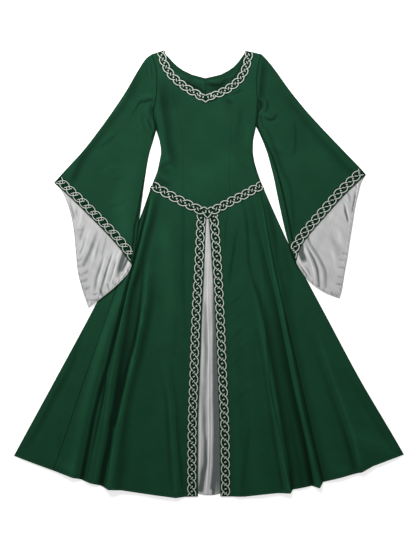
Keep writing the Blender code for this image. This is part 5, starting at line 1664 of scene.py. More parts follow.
@dataclass
class BellSleeve:
    """A bell sleeve: a flat tube whose back half runs on to a long point lined with satin."""

    finishes: Finishes
    cut: SleeveCut
    table: Sequence[BodiceRow]
    creases: Sequence[Crease]
    lining_creases: Sequence[Crease]
    underarm: Sequence[tuple[float, float]]
    columns: int = 84
    rows: int = 100
    point_rows: int = 46
    fold_steps: int = 5
    lining_columns: int = 150
    length: float = 560.0      # of the tube, along its middle
    rim_reach: float = 20.0    # the hem's form is laid on this far from the cuff

    @property
    def word(self) -> str:
        """left or right."""
        return self.cut.side.name.lower()

    def lift(self, across: np.ndarray, down: np.ndarray) -> np.ndarray:
        """How far the sleeve is lifted by the edge of the skirt under it.

        Args:
            across: places across.
            down: places down, in the same shape.

        Returns:
            Heights in millimetres, in the same shape.
        """
        edge = SKIRT_LEFT[0] if self.cut.side is Side.LEFT else SKIRT_RIGHT[-1]
        inside = (line_across(edge, np.maximum(down, SLEEVE_LIFT_TOP)) - across) * self.cut.side.value
        reach = smoothstep((inside - SLEEVE_LIFT_FROM) / (SLEEVE_LIFT_TO - SLEEVE_LIFT_FROM))
        fade = smoothstep((down - SLEEVE_LIFT_TOP) / (SLEEVE_LIFT_FULL - SLEEVE_LIFT_TOP))
        return SLEEVE_LIFT * reach * fade

    def tube_place(self, s: np.ndarray, v: np.ndarray) -> tuple[np.ndarray, np.ndarray]:
        """Plan place on the tube.

        Args:
            s: share from the outer fold to the inner fold.
            v: share from the armhole to the cuff.

        Returns:
            Places across and down.
        """
        armhole = [(row.outer, row.outer_down) for row in self.table[:ARMHOLE_ROWS + 1]]
        top, cuff = by_number(armhole, s), along(self.cut.cuff, s)
        outer, inner = along(self.cut.outer, v), along(self.cut.inner, v)
        place = []
        for k in (0, 1):
            start = mix(armhole[0][k], armhole[-1][k], s)
            corners = mix(start, mix(self.cut.cuff[0][k], self.cut.cuff[-1][k], s), v)
            sides_at_top = mix(self.cut.outer[0][k], self.cut.inner[0][k], s)
            shift = (mix(sides_at_top, start, 1 - v) - sides_at_top) * (1 - v)
            place.append(mix(top[k], cuff[k], v) + mix(outer[k], inner[k], s) - corners + shift)
        return place[0], place[1]

    def point_edge(self, s: np.ndarray) -> tuple[np.ndarray, np.ndarray]:
        """Plan place on the edge of the long point, which has a sharp tip.

        Args:
            s: shares of the way along the edge.

        Returns:
            Places across, and places down.
        """
        points = self.cut.point
        tip = max(range(len(points)), key=lambda number: points[number][1])
        number = s * (len(points) - 1)
        edge = []
        for k in (0, 1):
            before = through(np.arange(tip + 1.0), [p[k] for p in points[:tip + 1]], np.minimum(number, tip))
            after = through(np.arange(tip, len(points), 1.0), [p[k] for p in points[tip:]],
                            np.maximum(number, tip))
            edge.append(np.where(number <= tip, before, after))
        return edge[0], edge[1]

    def point_place(self, s: np.ndarray, w: np.ndarray) -> tuple[np.ndarray, np.ndarray]:
        """Plan place beyond the cuff, a share w of the way to the edge of the long point."""
        cuff, edge = along(self.cut.cuff, s), self.point_edge(s)
        return mix(cuff[0], edge[0], w), mix(cuff[1], edge[1], w)

    def front_rise(self, across: np.ndarray, down: np.ndarray) -> np.ndarray:
        """Folds of the sleeve's front half, with its underarm seam.

        Args:
            across: places across.
            down: places down, in the same shape.

        Returns:
            Heights in millimetres, in the same shape.
        """
        path = tuple((x, y, -UNDERARM_DEPTH * min(1.0, i / 2)) for i, (x, y) in enumerate(self.underarm))
        seam = Crease(path, UNDERARM_REACH, UNDERARM_REACH)
        return relief(self.creases, across, down) + relief([seam], across, down)

    def top(self, across: np.ndarray, down: np.ndarray) -> np.ndarray:
        """Height of the sleeve's upper face near the cuff."""
        return FRONT_TOP_ON_SATIN + self.lift(across, down) + settled(self.front_rise(across, down)
                                                                    + SLEEVE_AIR_LEAST)

    def skin(self, inset: float) -> np.ndarray:
        """One skin: rings of the tube, then the sheet of the long point.

        Args:
            inset: 0 for the outside, or the cloth's thickness for the inside.

        Returns:
            Points in pattern millimetres.
        """
        s = np.linspace(0, 1, self.columns + 1)[None, :]
        v = np.linspace(0, 1, self.rows + 1)[:, None]
        across, down = self.tube_place(s, v)
        tube = mix(FRONT_TOP, FRONT_TOP_ON_SATIN, smoothstep(v * 6.0)) * np.ones_like(across)
        lift = self.lift(across, down)
        armhole = seam_roll((v * 400.0) * np.ones_like(across), 1.3, 5.0)
        to_hem = (1 - v) * self.length
        rim = hem_form(to_hem * np.ones_like(across), across)
        from_fold = np.minimum(s, 1 - s)
        ends = smoothstep(from_fold * 30.0)
        slack = smoothstep(from_fold * 7.0) * smoothstep(5.0 * (1 - v)) * smoothstep(v * 9.0)
        air = SLEEVE_AIR_LEAST + SLEEVE_AIR * slack
        front = tube + lift - inset + ends * settled(self.front_rise(across, down) + air) - armhole
        front = front + ends * np.where(to_hem < self.rim_reach, np.minimum(rim, 0.0), 0.0)
        back = lift + inset + 0.35 * armhole
        edges = []
        for column, neighbour in ((0, 1), (-1, -2)):
            run = np.stack((across[:, neighbour] - across[:, column],
                            down[:, neighbour] - down[:, column]), -1)
            run = run / np.maximum(np.hypot(run[:, 0], run[:, 1]), 1e-6)[:, None]
            place = np.stack((across[:, column], down[:, column]), -1)
            turns = math.pi * (np.arange(self.fold_steps) + 1) / (self.fold_steps + 1)
            reach = inset + (SLEEVE_EDGE - inset / 2) * (1.0 - np.sin(turns))
            middle = (front[:, column] + back[:, column]) / 2
            half = (front[:, column] - back[:, column]) / 2
            plan = place[:, None, :] + run[:, None, :] * reach[None, :, None]
            height = middle[:, None] + half[:, None] * np.cos(turns)[None, :]
            edges.append(np.concatenate((plan, height[..., None]), axis=-1))
            across[:, column] += run[:, 0] * (SLEEVE_EDGE + inset / 2)
            down[:, column] += run[:, 1] * (SLEEVE_EDGE + inset / 2)
        front_sheet = np.stack((across, down, front), -1)
        back_sheet = np.stack((across, down, back), -1)[:, ::-1]
        ring = np.concatenate((front_sheet, edges[1], back_sheet, edges[0][:, ::-1]), axis=1)
        w = BACK_POINT_REACH * (np.arange(self.point_rows) + 1)[:, None] / self.point_rows
        px, py = self.point_place(s[:, 1:-1], w)
        beyond = np.stack((px, py, inset + self.lift(px, py)), -1)
        return np.concatenate((ring.reshape(-1, 3), beyond.reshape(-1, 3)))

    def skin_faces(self) -> np.ndarray:
        """Faces of a skin, which follow the order of its points.

        Returns:
            Four vertex numbers for each face.
        """
        ring = 2 * (self.columns + 1 + self.fold_steps)
        numbers = np.arange((self.rows + 1) * ring).reshape(self.rows + 1, ring)
        numbers = np.concatenate((numbers, numbers[:, :1]), axis=1)
        tube = np.stack((numbers[:-1, :-1], numbers[1:, :-1], numbers[1:, 1:], numbers[:-1, 1:]), -1)
        start = (self.rows + 1) * ring
        first_back = self.columns + 1 + self.fold_steps
        last_ring = numbers[-1, first_back:first_back + self.columns + 1][::-1]
        beyond = start + np.arange(self.point_rows * (self.columns - 1)).reshape(self.point_rows, -1)
        corners = np.full((self.point_rows, 1), last_ring[0]), np.full((self.point_rows, 1), last_ring[-1])
        table = np.concatenate((last_ring[None, :], np.concatenate((corners[0], beyond, corners[1]), 1)))
        flap = np.stack((table[:-1, :-1], table[:-1, 1:], table[1:, 1:], table[1:, :-1]), -1)
        faces = np.concatenate((tube.reshape(-1, 4), flap.reshape(-1, 4)))
        return faces if self.cut.side is Side.LEFT else faces[:, ::-1]

    def build_tube(self) -> None:
        """Builds the crepe of the sleeve."""
        outer, inner = self.skin(0.0), self.skin(CREPE_THICK)
        ring = 2 * (self.columns + 1 + self.fold_steps)
        points = outer[:(self.rows + 1) * ring].reshape(self.rows + 1, ring, 3)[:, :self.columns + 1]
        across, down = points[..., 0], points[..., 1]
        sides = [np.hypot(across - across[:, [k]], down - down[:, [k]]) for k in (0, -1)]
        armhole = np.hypot(across - across[[0]], down - down[[0]])
        path = tuple((x, y, -min(1.0, 0.3 + i / 5)) for i, (x, y) in enumerate(self.underarm))
        seam = Crease(path, 5.4, 4.2)
        # Painted shade along the underarm seam, the inner fold edge and the armhole, with painted shade and
        # highlight of the creases
        painted_shading_heights = relief(self.creases, across, down) + 5.0 * relief([seam], across, down)
        painted_shading_heights += edge_painted_shading(sides[-1], 3.0, 3.4) + edge_painted_shading(sides[0], 0.6, 2.4)
        painted_shading_heights += edge_painted_shading(armhole, 2.6, 4.2) * mix(0.6, 1.5, np.linspace(0, 1, self.columns + 1)[None, :])
        tone = np.full(len(outer), 0.5)
        # Painted shade on the fold edges and the back half
        sheet = np.full((self.rows + 1, ring), 0.3)
        sheet[:, :self.columns + 1] = painted_fold_shading(points[..., 2], painted_shading_heights, SMOOTH_PAINTED_SHADING)
        tone[:(self.rows + 1) * ring] = sheet.ravel()
        wall = Wall(outer, inner, self.skin_faces(), tone)
        piece = make_piece(f"crepe_sleeve_{self.word}", [wall], self.finishes.crepe)
        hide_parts(f"sleeve_{self.word}")

    def build_lining(self) -> None:
        """Builds the satin that shows inside the long point."""
        s = np.linspace(0.012, 0.988, self.lining_columns + 1)[None, :]
        v = np.linspace(0.86, 0.985, 10)[:, None]
        w = np.concatenate((np.linspace(0, 0.88, 72), np.linspace(0.89, 1.0, 22)))[:, None]
        tube = self.tube_place(s, v)
        beyond = self.point_place(s, w)
        across, down = (np.concatenate((tube[k], beyond[k])) for k in (0, 1))
        share = np.concatenate((np.zeros(v.shape), w)) * np.ones_like(across)
        length = np.hypot(beyond[0][-1] - beyond[0][0], beyond[1][-1] - beyond[1][0])
        reach = (1 - share) * length[None, :]
        loose = smoothstep(2.5 * share) * smoothstep(np.minimum(s, 1 - s) * 14)
        folds = relief(self.lining_creases, across, down)
        along_edge = np.cumsum(np.hypot(np.diff(beyond[0][-1], prepend=beyond[0][-1][0]),
                                        np.diff(beyond[1][-1], prepend=beyond[1][-1][0])))[None, :]
        pucker = 0.9 * ripples(along_edge, 15.0) * np.exp(-((reach - 10.0) / 6.0) ** 2)
        low = SATIN_LOW + self.lift(across, down)
        lofted = settled(0.8 * folds + pucker + 1.4, 1.0)
        top = low + SATIN_WALL + loose * lofted - seam_roll(reach, EDGE_ROLL, 2.0) * (share > 0)
        slow = 0.35 * ripples(across * 0.8 + down * 0.35, 60.0)
        slow = slow + 0.3 * ripples(across * 0.5 - down * 0.6, 34.0)
        # Painted shade along the hem's row of stitches, at the edges and at the cuff, with painted shade and
        # highlight of the puckers and soft waves
        stitch_painted_shade = 1.5 * np.exp(-((reach - 9.0) / 1.8) ** 2)
        painted_shading_heights = folds + 1.7 * pucker + slow + edge_painted_shading(reach, 2.3, 6.0) - stitch_painted_shade
        cuff = np.hypot(across - beyond[0][0], down - beyond[1][0])
        painted_shading_heights += edge_painted_shading(cuff, 2.0, 5.0)
        wall = grid_wall(across, down, top, SATIN_THICK, painted_shading_heights, SATIN_PAINTED_SHADING)
        if self.cut.side is Side.RIGHT:
            wall.faces = wall.faces[:, ::-1]
        piece = make_piece(f"satin_lining_{self.word}", [wall], self.finishes.satin)
        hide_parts(f"sleeve_lining_{self.word}")

    def build(self) -> None:
        """Builds the sleeve and its lining."""
        self.build_tube()
        self.build_lining()


# One repeat of the interlace, drawn for travel along the band: places along and aside in millimetres
OUTER_ARC = ((-1.6, -5.4), (0.6, -8.6), (4.4, -11.7), (9.5, -13.3), (15.0, -13.5), (20.5, -12.5),
             (25.0, -10.2), (28.6, -7.4), (31.2, -4.6), (34.4, -2.8))
CROSSING_BAR = ((-4.4, 4.4), (0.0, 0.0), (4.4, -4.4))
EYE_BAR = ((-1.4, 3.4), (0.0, 0.0), (1.4, -3.4))
EYE_BAR_WIDTH = 5.2
# The same where the strands end in the links beside them, and no bars are needed
SLANTED_ARC = ((-5.6, -1.4), (-3.2, -5.4), (1.0, -9.4), (6.5, -12.3), (14.0, -13.4), (20.5, -12.4),
               (26.0, -9.8), (30.4, -5.6), (34.6, 1.0), (39.2, 8.2))


@dataclass(frozen=True)
class Heart:
    """The heart at a pointed band's middle.

    shapes are the strands of its left half, as places across and down from middle.
    """

    middle: tuple[float, float]
    shapes: tuple[tuple[tuple[float, float], ...], ...]
    tip: float


WAIST_HEART = Heart(
    middle=(0.0, 530.0),
    shapes=(((-21.0, 2.5), (-16.5, -2.4), (-10.5, -3.4), (-5.0, -0.6), (0.0, 4.0)),
            ((-17.0, 11.0), (-11.0, 21.0), (-5.0, 28.5), (0.0, 32.2)),
            ((-8.0, 6.5), (-4.6, 10.5), (-6.5, 15.0), (-10.5, 14.5))),
    tip=34.0,
)
NECK_HEART = Heart(
    middle=(-6.4, 147.4),
    shapes=(((-19.0, -4.4), (-12.4, -0.6), (-6.0, 1.2), (0.0, 4.2)),
            ((-35.0, 2.5), (-31.4, 10.6), (-26.0, 15.6), (-20.0, 17.8), (-12.0, 18.6), (-5.5, 22.4),
             (0.0, 27.6)),
            ((-10.5, 13.5), (-7.5, 9.5), (-9.5, 5.5)),
            ((-23.5, 6.5), (-20.0, 4.6), (-17.5, 7.5), (-20.5, 10.5))),
    tip=29.0,
)


@dataclass(frozen=True)
class Run:
    """One stretch of a band.

    middle is its middle line in the direction of travel, and keep says which places it may cover. phase is
    where its first whole arc begins, and stagger how far the arcs of one side run ahead of those of the other
    side, as a share of the pitch. clear is what its outer arcs, and then its other strands, leave free at its
    end.
    """

    middle: tuple[tuple[float, float], ...]
    flipped: bool
    keep: Callable[[np.ndarray, np.ndarray], np.ndarray]
    phase: float
    pitch: float
    stagger: float
    clear: tuple[float, float] = (0.0, 0.0)


@dataclass
class InterlaceBand:
    """A scalloped band of twill with two silver strands that pass over and under each other."""

    finishes: Finishes
    name: str
    runs: Sequence[Run]
    width: float
    surface: Callable[[np.ndarray, np.ndarray], np.ndarray]
    flat_length: float
    rests_on: tuple[str, ...]
    heart: Heart | None = None
    slanted: bool = False
    strand_width: float = STRAND_WIDTH
    bars_lean: int = 1           # -1 where the bars lean the other way
    sample: float = 1.0
    columns: int = 8
    ring: int = 7
    strokes: list = field(default_factory=list)

    def place(self, run: Run, s: np.ndarray, t: np.ndarray) -> tuple[np.ndarray, np.ndarray]:
        """Plan places from distance along the run's middle line and distance aside of it.

        Args:
            run: the run.
            s: distances along.
            t: distances aside.

        Returns:
            Places across, and places down.
        """
        lengths = run_lengths(run.middle)
        xs, ys = [p[0] for p in run.middle], [p[1] for p in run.middle]
        ahead = through(lengths, xs, s + 3.0) - through(lengths, xs, s - 3.0)
        fall = through(lengths, ys, s + 3.0) - through(lengths, ys, s - 3.0)
        size = np.hypot(ahead, fall)
        aside = -t if run.flipped else t
        return through(lengths, xs, s) + aside * fall / size, through(lengths, ys, s) - aside * ahead / size

    def half_width(self, run: Run, s: np.ndarray, side: int) -> np.ndarray:
        """Half the band's width with its scallops, which bulge where that side's arcs do.

        Args:
            run: the run.
            s: distances along.
            side: -1 or 1.

        Returns:
            Half widths in millimetres.
        """
        shift = run.phase + (run.stagger * run.pitch if side > 0 else 0.0)
        wave = np.abs(np.sin(math.pi * (s - shift) / run.pitch))
        return self.width / 2 + BAND_MARGIN - SCALLOP_DIP * (1.0 - wave) ** 1.6

    def ground_wall(self, run: Run) -> Wall:
        """The twill of one run, from column lines that each stop where the run has to.

        Args:
            run: the run.

        Returns:
            Its wall.
        """
        total = run_lengths(run.middle)[-1]
        s = np.arange(0.0, total + (self.heart.tip / 2 if self.heart else 0.0), self.sample)
        count = len(s)
        columns = []
        for share in np.linspace(-1, 1, self.columns + 1):
            t = share * self.half_width(run, s, -1 if share < 0 else 1)
            across, down = self.place(run, s, t)
            kept = np.flatnonzero(run.keep(across, down))
            across, down = across[kept[0]:kept[-1] + 1], down[kept[0]:kept[-1] + 1]
            at = np.linspace(0, len(across) - 1, count)
            numbers = np.arange(len(across))
            columns.append((np.interp(at, numbers, across), np.interp(at, numbers, down)))
        across, down = (np.array([column[k] for column in columns]).T for k in (0, 1))
        share = np.abs(np.linspace(-1, 1, self.columns + 1))[None, :]
        top = self.surface(across, down) + BAND_GAP + BAND_THICK - 0.35 * share ** 6
        wall = grid_wall(across, down, top, BAND_THICK, np.zeros_like(top), SMOOTH_PAINTED_SHADING)
        first, second = to_world(np.stack((across, down, top), -1))[:2, :2]
        normal = np.cross(second[0] - first[0], first[1] - first[0])
        if normal[2] < 0:
            wall.faces = wall.faces[:, ::-1]
        return wall

    def add_stroke(self, across: np.ndarray, down: np.ndarray, width: float, lift: np.ndarray,
                   painted_highlight: float = 1.0) -> None:
        """Adds one raised satin-stitched stroke.

        Args:
            across: places across, evenly spaced along the stroke.
            down: places down.
            width: of the strand.
            lift: extra height at each place.
            painted_highlight: painted highlight along its crest, over painted shade on its sides.
        """
        lengths = run_lengths(np.stack((across, down), -1))
        if lengths[-1] < 2.5:
            return
        run = np.stack((np.gradient(across), np.gradient(down)), -1)
        run = run / np.maximum(np.hypot(run[:, 0], run[:, 1]), 1e-6)[:, None]
        ends = np.minimum(lengths, lengths[-1] - lengths)
        size = np.sqrt(np.clip(ends / (0.3 * width), 0.12, 1.0))
        turns = np.linspace(0, math.pi, self.ring)
        aside = np.cos(turns)[None, :] * (width / 2) * size[:, None]
        rise = np.sin(turns)[None, :] * STRAND_HEIGHT * size[:, None]
        x = across[:, None] + run[:, 1:2] * aside
        y = down[:, None] - run[:, 0:1] * aside
        base = self.surface(across, down) + BAND_GAP + BAND_THICK - 0.15
        z = (base + lift)[:, None] + rise
        # Painted highlight along the stroke's crest, fading to painted shade on its sides
        tone = mix(0.2, painted_highlight, np.sin(turns))[None, :] * np.ones_like(x)
        plan = np.stack((lengths[:, None] * np.ones_like(x), aside), -1) * MM
        self.strokes.append((to_world(np.stack((x, y, z), -1)), plan, tone))

    def draw_shape(self, run: Run, shape: Sequence[tuple[float, float]], start: float, width: float,
                   lift: float, painted_highlight: float = 1.0, turned: bool | None = None) -> None:
        """Draws one shape of the repeat on a run.

        Args:
            run: the run that it lies on.
            shape: places along and aside.
            start: distance along the run of the repeat's start.
            width: of the strand.
            lift: extra height, for a strand that passes over others.
            painted_highlight: painted highlight along its crest.
            turned: for an outer arc, whether it is turned half round, for the other side of the band.
        """
        scale, spread = run.pitch / PATTERN_PITCH, self.width / (2 * PATTERN_HALF)
        points = np.array(shape) * (scale, spread)
        lengths = run_lengths(points)
        share = np.linspace(0, 1, max(6, round(lengths[-1] / 2.2)))
        along_band, aside = (through(lengths, points[:, k], share * lengths[-1]) for k in (0, 1))
        if turned:
            along_band, aside = (1.0 + run.stagger) * run.pitch - along_band, -aside
        across, down = self.place(run, start + along_band, aside)
        total = run_lengths(run.middle)[-1] - run.clear[0 if turned is False else 1]
        kept = run.keep(across, down) & (start + along_band > 0.8) & (start + along_band < total)
        if kept.sum() > 3:
            rise = np.full(share.shape, lift) if turned is None else 0.25 * np.sin(4.5 * share)
            self.add_stroke(across[kept], down[kept], width, rise[kept], painted_highlight)

    def draw_run(self, run: Run) -> None:
        """Draws every repeat of the interlace on one run.

        Args:
            run: the run.
        """
        total = run_lengths(run.middle)[-1]
        crossing = run.stagger * run.pitch / 2
        arc = SLANTED_ARC if self.slanted else OUTER_ARC
        for number in range(-2, int(total / run.pitch) + 2):
            start = run.phase + number * run.pitch
            for turned in (False, True):
                self.draw_shape(run, arc, start, self.strand_width, 0.0, turned=turned)
            if not self.slanted:
                bar, eye = (np.array(shape) * (1.0, self.bars_lean) for shape in (CROSSING_BAR, EYE_BAR))
                self.draw_shape(run, bar, start + crossing, STRAND_WIDTH, 0.8, 0.95)
                self.draw_shape(run, eye, start + crossing + run.pitch / 2, EYE_BAR_WIDTH, 0.0, 0.85)

    def draw_heart(self) -> None:
        """Draws the heart that joins the two halves of a pointed band."""
        for shape in self.heart.shapes:
            for side in Side:
                points = np.array(shape) * (-side.value, 1.0) + self.heart.middle
                lengths = run_lengths(points)
                at = np.linspace(0, lengths[-1], max(8, round(lengths[-1] / 2.0)))
                across, down = (through(lengths, points[:, k], at) for k in (0, 1))
                self.add_stroke(across, down, STRAND_WIDTH, np.full(at.shape, 0.2))

    def strand_mesh(self) -> bpy.types.Object:
        """Joins the strokes into one piece.

        Returns:
            The piece.
        """
        vertices, faces, plans, painted_shadings = [], [], [], []
        start = 0
        for points, plan, tone in self.strokes:
            rows = len(points)
            numbers = start + np.arange(rows * self.ring).reshape(rows, self.ring)
            around = np.concatenate((numbers, numbers[:, :1]), axis=1)
            sides = np.stack((around[:-1, :-1], around[:-1, 1:], around[1:, 1:], around[1:, :-1]), -1)
            faces += sides.reshape(-1, 4).tolist()
            faces += [numbers[0][::-1].tolist(), numbers[-1].tolist()]
            vertices.append(points.reshape(-1, 3))
            plans.append(plan.reshape(-1, 2))
            painted_shadings.append(tone.ravel())
            start += rows * self.ring
        return add_mesh(f"interlace_{self.name}", np.concatenate(vertices), faces, np.concatenate(plans),
                        np.concatenate(painted_shadings), self.finishes.strand)

    def build(self) -> None:
        """Builds the twill and the strands."""
        walls = [self.ground_wall(run) for run in self.runs]
        for run in self.runs:
            self.draw_run(run)
        if self.heart:
            self.draw_heart()
        ground = make_piece(f"band_{self.name}", walls, self.finishes.ground)
        strands = self.strand_mesh()
        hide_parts(f"trim_{self.name}")


@dataclass(frozen=True)
class CuffBand:
    """How the band lies on one cuff.

    insets are from the cuff to its middle line, at the outer fold and at the inner, and clear is what it
    leaves free along the sleeve's inner edge. phase, pitch and stagger are those of its run, and strand is
    the width of its strands.
    """

    insets: tuple[float, float]
    clear: float
    phase: float
    pitch: float
    stagger: float
    strand: float = STRAND_WIDTH
    slanted: bool = False


CUFF_BANDS = {Side.LEFT: CuffBand((16.6, 18.2), 6.5, 16.2, 29.9, -0.1, 2.9, True),
              Side.RIGHT: CuffBand((18.6, 15.2), 3.0, 14.4, 28.5, 0.75)}


@dataclass
class Trims:
    """All the interlace bands: neck, waist, both edges of the opening and both cuffs."""

    finishes: Finishes
    bodice: Bodice
    sleeves: Sequence[BellSleeve]

    @staticmethod
    def halves(points: Sequence[tuple[float, float]], middle: int, phases: tuple[float, float],
               pitches: tuple[float, float], stagger: float, clear: tuple[float, float]) -> list[Run]:
        """The two runs of a pointed band, each of which travels to the point.

        Args:
            points: middle line of the band.
            middle: number of the place at its point.
            phases: where the first whole arc of the left run begins, and that of the right run.
            pitches: length of a repeat on the left run and on the right run.
            stagger: share of a pitch by which one side's arcs run ahead.
            clear: what the outer arcs, and the other strands, leave free for the heart.

        Returns:
            The left run and the right run.
        """
        centre = points[middle][0]
        left, right = tuple(points[:middle + 1]), tuple(points[middle:][::-1])
        return [Run(left, False, lambda x, y: x <= centre + 0.02, phases[0], pitches[0], stagger, clear),
                Run(right, True, lambda x, y: x >= centre - 0.02, phases[1], pitches[1], stagger, clear)]

    def waist_surface(self, across: np.ndarray, down: np.ndarray) -> np.ndarray:
        """Height under the waist band, over the bodice and the skirt."""
        beyond = (np.abs(across) - WAIST_BAND_LIFT_FROM) / WAIST_BAND_LIFT_FADE
        return FRONT_TOP + SATIN_LIFT * (1.0 - smoothstep(beyond)) + WAIST_BAND_CLEAR

    def below_waist_band(self, across: np.ndarray, down: np.ndarray) -> np.ndarray:
        """Keeps places below the waist band."""
        return down > waist_down(across) + WAIST_BAND_WIDTH / 2 / math.cos(WAIST_SLOPE) + BAND_STOP

    def build_cuff(self, sleeve: BellSleeve) -> None:
        """Builds the band round the front of one cuff.

        Args:
            sleeve: the sleeve that it is sewn on.
        """
        share = np.linspace(CUFF_BAND_START, 1.0, 13)
        here, behind = along(sleeve.cut.cuff, share), along(sleeve.cut.cuff, share - CUFF_BAND_START)
        run = here[0] - behind[0], here[1] - behind[1]
        side = sleeve.cut.side
        band = CUFF_BANDS[side]
        reach = side.value * mix(*band.insets, share) / np.hypot(*run)
        middle = tuple(zip((here[0] - run[1] * reach).tolist(), (here[1] + run[0] * reach).tolist()))

        def keep(across: np.ndarray, down: np.ndarray) -> np.ndarray:
            """Keeps places inside the sleeve's inner edge and outer fold."""
            inner = through([p[1] for p in sleeve.cut.inner], [p[0] for p in sleeve.cut.inner], down)
            return (across - inner) * side.value > band.clear

        run = Run(middle, side is Side.RIGHT, keep, band.phase, band.pitch, band.stagger)
        InterlaceBand(self.finishes, f"cuff_{sleeve.word}", [run], CUFF_BAND_WIDTH, sleeve.top, 0.39,
                      (f"crepe_sleeve_{sleeve.word}",), slanted=band.slanted, strand_width=band.strand,
                      bars_lean=-1).build()

    def build(self) -> None:
        """Builds the six bands."""
        neck = self.halves(NECK_BAND, 8, (18.6, 1.6), (28.4, 27.6), 0.57, (35.0, 19.0))
        InterlaceBand(self.finishes, "neck", neck, NECK_BAND_WIDTH, self.bodice.top, 0.46,
                      ("crepe_bodice_front_centre",), NECK_HEART).build()
        waist = self.halves(WAIST_SEAM, 7, (8.0, 2.9), (31.4, 27.2), 0.62, (13.0, 19.5))
        InterlaceBand(self.finishes, "waist", waist, WAIST_BAND_WIDTH, self.waist_surface, 0.43,
                      ("crepe_bodice_front_centre", "crepe_skirt_front_left", "crepe_skirt_front_right"),
                      WAIST_HEART).build()
        for word, middle, phase, pitch, stagger in (("left", OPENING_BAND_LEFT, 22.3, 29.64, 0.49),
                                                    ("right", OPENING_BAND_RIGHT, 33.2, 30.08, 0.34)):
            run = Run(middle, False, self.below_waist_band, phase, pitch, stagger)
            InterlaceBand(self.finishes, f"opening_{word}", [run], OPENING_BAND_WIDTH,
                          lambda x, y: np.full(np.shape(x), FRONT_TOP_ON_SATIN), 0.94,
                          (f"crepe_skirt_front_{word}",)).build()
        for sleeve in self.sleeves:
            self.build_cuff(sleeve)


@dataclass
class Topstitching:
    """Rows of running stitches that hold the hems."""

    finishes: Finishes
    skirt: Skirt
    sides: int = 6

    def stitch_row(self, path: np.ndarray,
                   heights: np.ndarray) -> tuple[np.ndarray, list[list[int]], np.ndarray]:
        """Stitches along a line.

        Args:
            path: plan points, close together.
            heights: height of the cloth's groove at each.

        Returns:
            World vertices, faces and cloth places.
        """
        lengths = run_lengths(path)
        starts = np.arange(2.0, lengths[-1] - STITCH_LENGTH - 2.0, STITCH_PITCH)
        rings = np.array((0.0, 0.2, 0.8, 1.0))
        size = np.array((0.35, 1.0, 1.0, 0.35))
        sink = np.array((-0.30, 0.05, 0.05, -0.30))
        turns = np.linspace(0, 2 * math.pi, self.sides, endpoint=False)
        at = starts[:, None] + rings[None, :] * STITCH_LENGTH
        x, y = np.interp(at, lengths, path[:, 0]), np.interp(at, lengths, path[:, 1])
        z = np.interp(at, lengths, heights) + sink
        run = np.stack((x[:, -1] - x[:, 0], y[:, -1] - y[:, 0]), -1)
        run = run / np.hypot(run[:, 0], run[:, 1])[:, None]
        radius = THREAD_WIDTH / 2 * size
        aside = np.cos(turns)[None, None, :] * radius[None, :, None]
        rise = np.sin(turns)[None, None, :] * radius[None, :, None]
        points = np.stack((x[..., None] + run[:, None, 1:2] * aside, y[..., None] - run[:, None, 0:1] * aside,
                           z[..., None] + rise + THREAD_WIDTH / 2), -1)
        faces = []
        for stitch in range(len(starts)):
            first = stitch * len(rings) * self.sides
            for ring in range(len(rings) - 1):
                for side in range(self.sides):
                    a = first + ring * self.sides + side
                    b = first + ring * self.sides + (side + 1) % self.sides
                    faces.append([a, b, b + self.sides, a + self.sides])
            faces.append([first + side for side in reversed(range(self.sides))])
            faces.append([first + (len(rings) - 1) * self.sides + side for side in range(self.sides)])
        plan = np.repeat(at[..., None], self.sides, axis=-1)
        plan = np.stack((plan, np.zeros_like(plan)), -1) * MM
        return to_world(points).reshape(-1, 3), faces, plan.reshape(-1, 2)

    def build_row(self, name: str, path: np.ndarray, heights: np.ndarray, material: bpy.types.Material) -> None:
        """Builds one row of stitches as a piece."""
        vertices, faces, plan = self.stitch_row(path, heights)
        add_mesh(name, vertices, faces, plan, np.full(len(vertices), 0.5), material)

    def build(self) -> None:
        """Builds the stitching of the skirt's hem."""
        for word, lines in (("left", SKIRT_LEFT), ("right", SKIRT_RIGHT)):
            across = np.arange(lines[0].hem + 3.0, lines[-1].hem - 3.0, 1.5)
            down = self.skirt.hem_down(lines, across) - HEM_DEPTH
            inside = line_across(lines[0], down), line_across(lines[-1], down)
            kept = (across > inside[0] + 3.0) & (across < inside[1] - 3.0)
            across, down = across[kept], down[kept]
            heights = self.skirt.top(across, down) + hem_form(np.full(across.shape, HEM_DEPTH), across)
            self.build_row(f"stitching_hem_{word}", np.stack((across, down), -1), heights,
                           self.finishes.green_thread)


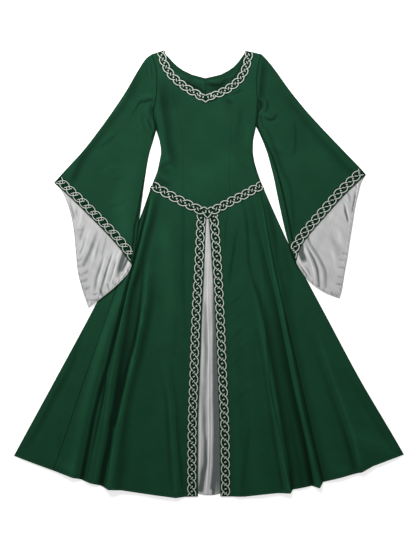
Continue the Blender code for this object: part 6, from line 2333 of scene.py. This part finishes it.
@dataclass
class Studio:
    """A plain pale floor, soft light from the top of the picture, and the camera straight above."""

    floor_size: float = 9.0
    glow: float = 0.6          # the table is lit from beneath, so it stays white and shadows are faint
    frame_height: float = 1.8648     # what the picture covers at the floor, in metres
    lens: float = 85.0
    sensor: float = 36.0
    centre: tuple[float, float] = (-0.0033, -0.0117)

    def floor(self) -> None:
        """Makes the floor."""
        half = self.floor_size / 2
        mesh = bpy.data.meshes.new("floor")
        corners = [(-half, -half), (half, -half), (half, half), (-half, half)]
        mesh.from_pydata([(x, y, -0.0004) for x, y in corners], [], [(0, 1, 2, 3)])
        material, tree, shader = new_material("backlit_acrylic_white")
        place = add_node(tree, "ShaderNodeTexCoord")
        grain = add_node(tree, "ShaderNodeTexNoise", {"Scale": 400.0}, {"Vector": place.outputs["Object"]})
        bump = add_node(tree, "ShaderNodeBump", {"Strength": 0.02, "Distance": 0.0002},
                        {"Height": grain.outputs["Fac"]})
        tree.links.new(bump.outputs["Normal"], shader.inputs["Normal"])
        shader.inputs["Base Color"].default_value = linear("f4f4f4")
        shader.inputs["Roughness"].default_value = 0.9
        shader.inputs["Specular IOR Level"].default_value = 0.1
        shader.inputs["Emission Color"].default_value = linear("ffffff")
        shader.inputs["Emission Strength"].default_value = self.glow
        mesh.materials.append(material)
        floor = bpy.data.objects.new("floor", mesh)
        bpy.context.scene.collection.objects.link(floor)

    @staticmethod
    def lamp(name: str, place: tuple[float, float, float], size: tuple[float, float], power: float) -> None:
        """Makes one soft box that faces the gown.

        Args:
            name: its name.
            place: where it is, in metres.
            size: its width and height, in metres.
            power: its power in watts.
        """
        light = bpy.data.lights.new(name, "AREA")
        light.shape = "RECTANGLE"
        light.size, light.size_y = size
        light.energy = power
        lamp = bpy.data.objects.new(name, light)
        bpy.context.scene.collection.objects.link(lamp)
        lamp.location = place
        away = np.array(place) / np.linalg.norm(place)
        lamp.rotation_euler = (math.acos(away[2]), 0.0, math.atan2(away[0], -away[1]))

    def camera(self) -> None:
        """Makes the camera."""
        data = bpy.data.cameras.new("camera")
        data.lens, data.sensor_width = self.lens, self.sensor
        data.clip_end = 50.0
        camera = bpy.data.objects.new("camera", data)
        bpy.context.scene.collection.objects.link(camera)
        camera.location = (*self.centre, self.frame_height * self.lens / self.sensor)
        bpy.context.scene.camera = camera

    def build(self) -> None:
        """Makes the whole studio."""
        self.floor()
        self.lamp("key", (-0.6, 1.65, 1.8), (1.8, 1.0), 61.0)
        world = bpy.data.worlds.new("studio")
        world.use_nodes = True
        background = world.node_tree.nodes["Background"]
        background.inputs["Color"].default_value = linear("ffffff")
        background.inputs["Strength"].default_value = 0.29
        bpy.context.scene.world = world
        bpy.context.scene.view_settings.view_transform = "Standard"
        self.camera()


def main() -> None:
    """Builds the gown and its studio."""
    logging.basicConfig(level=logging.INFO, format="%(name)s: %(message)s")
    finishes = Finishes()
    Studio().build()
    Back(finishes).build()
    skirt, bodice = Skirt(finishes), Bodice(finishes)
    bodice.build()
    Inset(finishes).build()
    skirt.build()
    sleeves = [
        BellSleeve(finishes, SLEEVE_LEFT, BODICE_LEFT, SLEEVE_CREASES_LEFT, LINING_CREASES_LEFT,
                   UNDERARM_LEFT),
        BellSleeve(finishes, SLEEVE_RIGHT, BODICE_RIGHT, SLEEVE_CREASES_RIGHT, LINING_CREASES_RIGHT,
                   UNDERARM_RIGHT),
    ]
    for sleeve in sleeves:
        sleeve.build()
    Trims(finishes, bodice, sleeves).build()
    Topstitching(finishes, skirt).build()


if __name__ == "__main__":
    main()
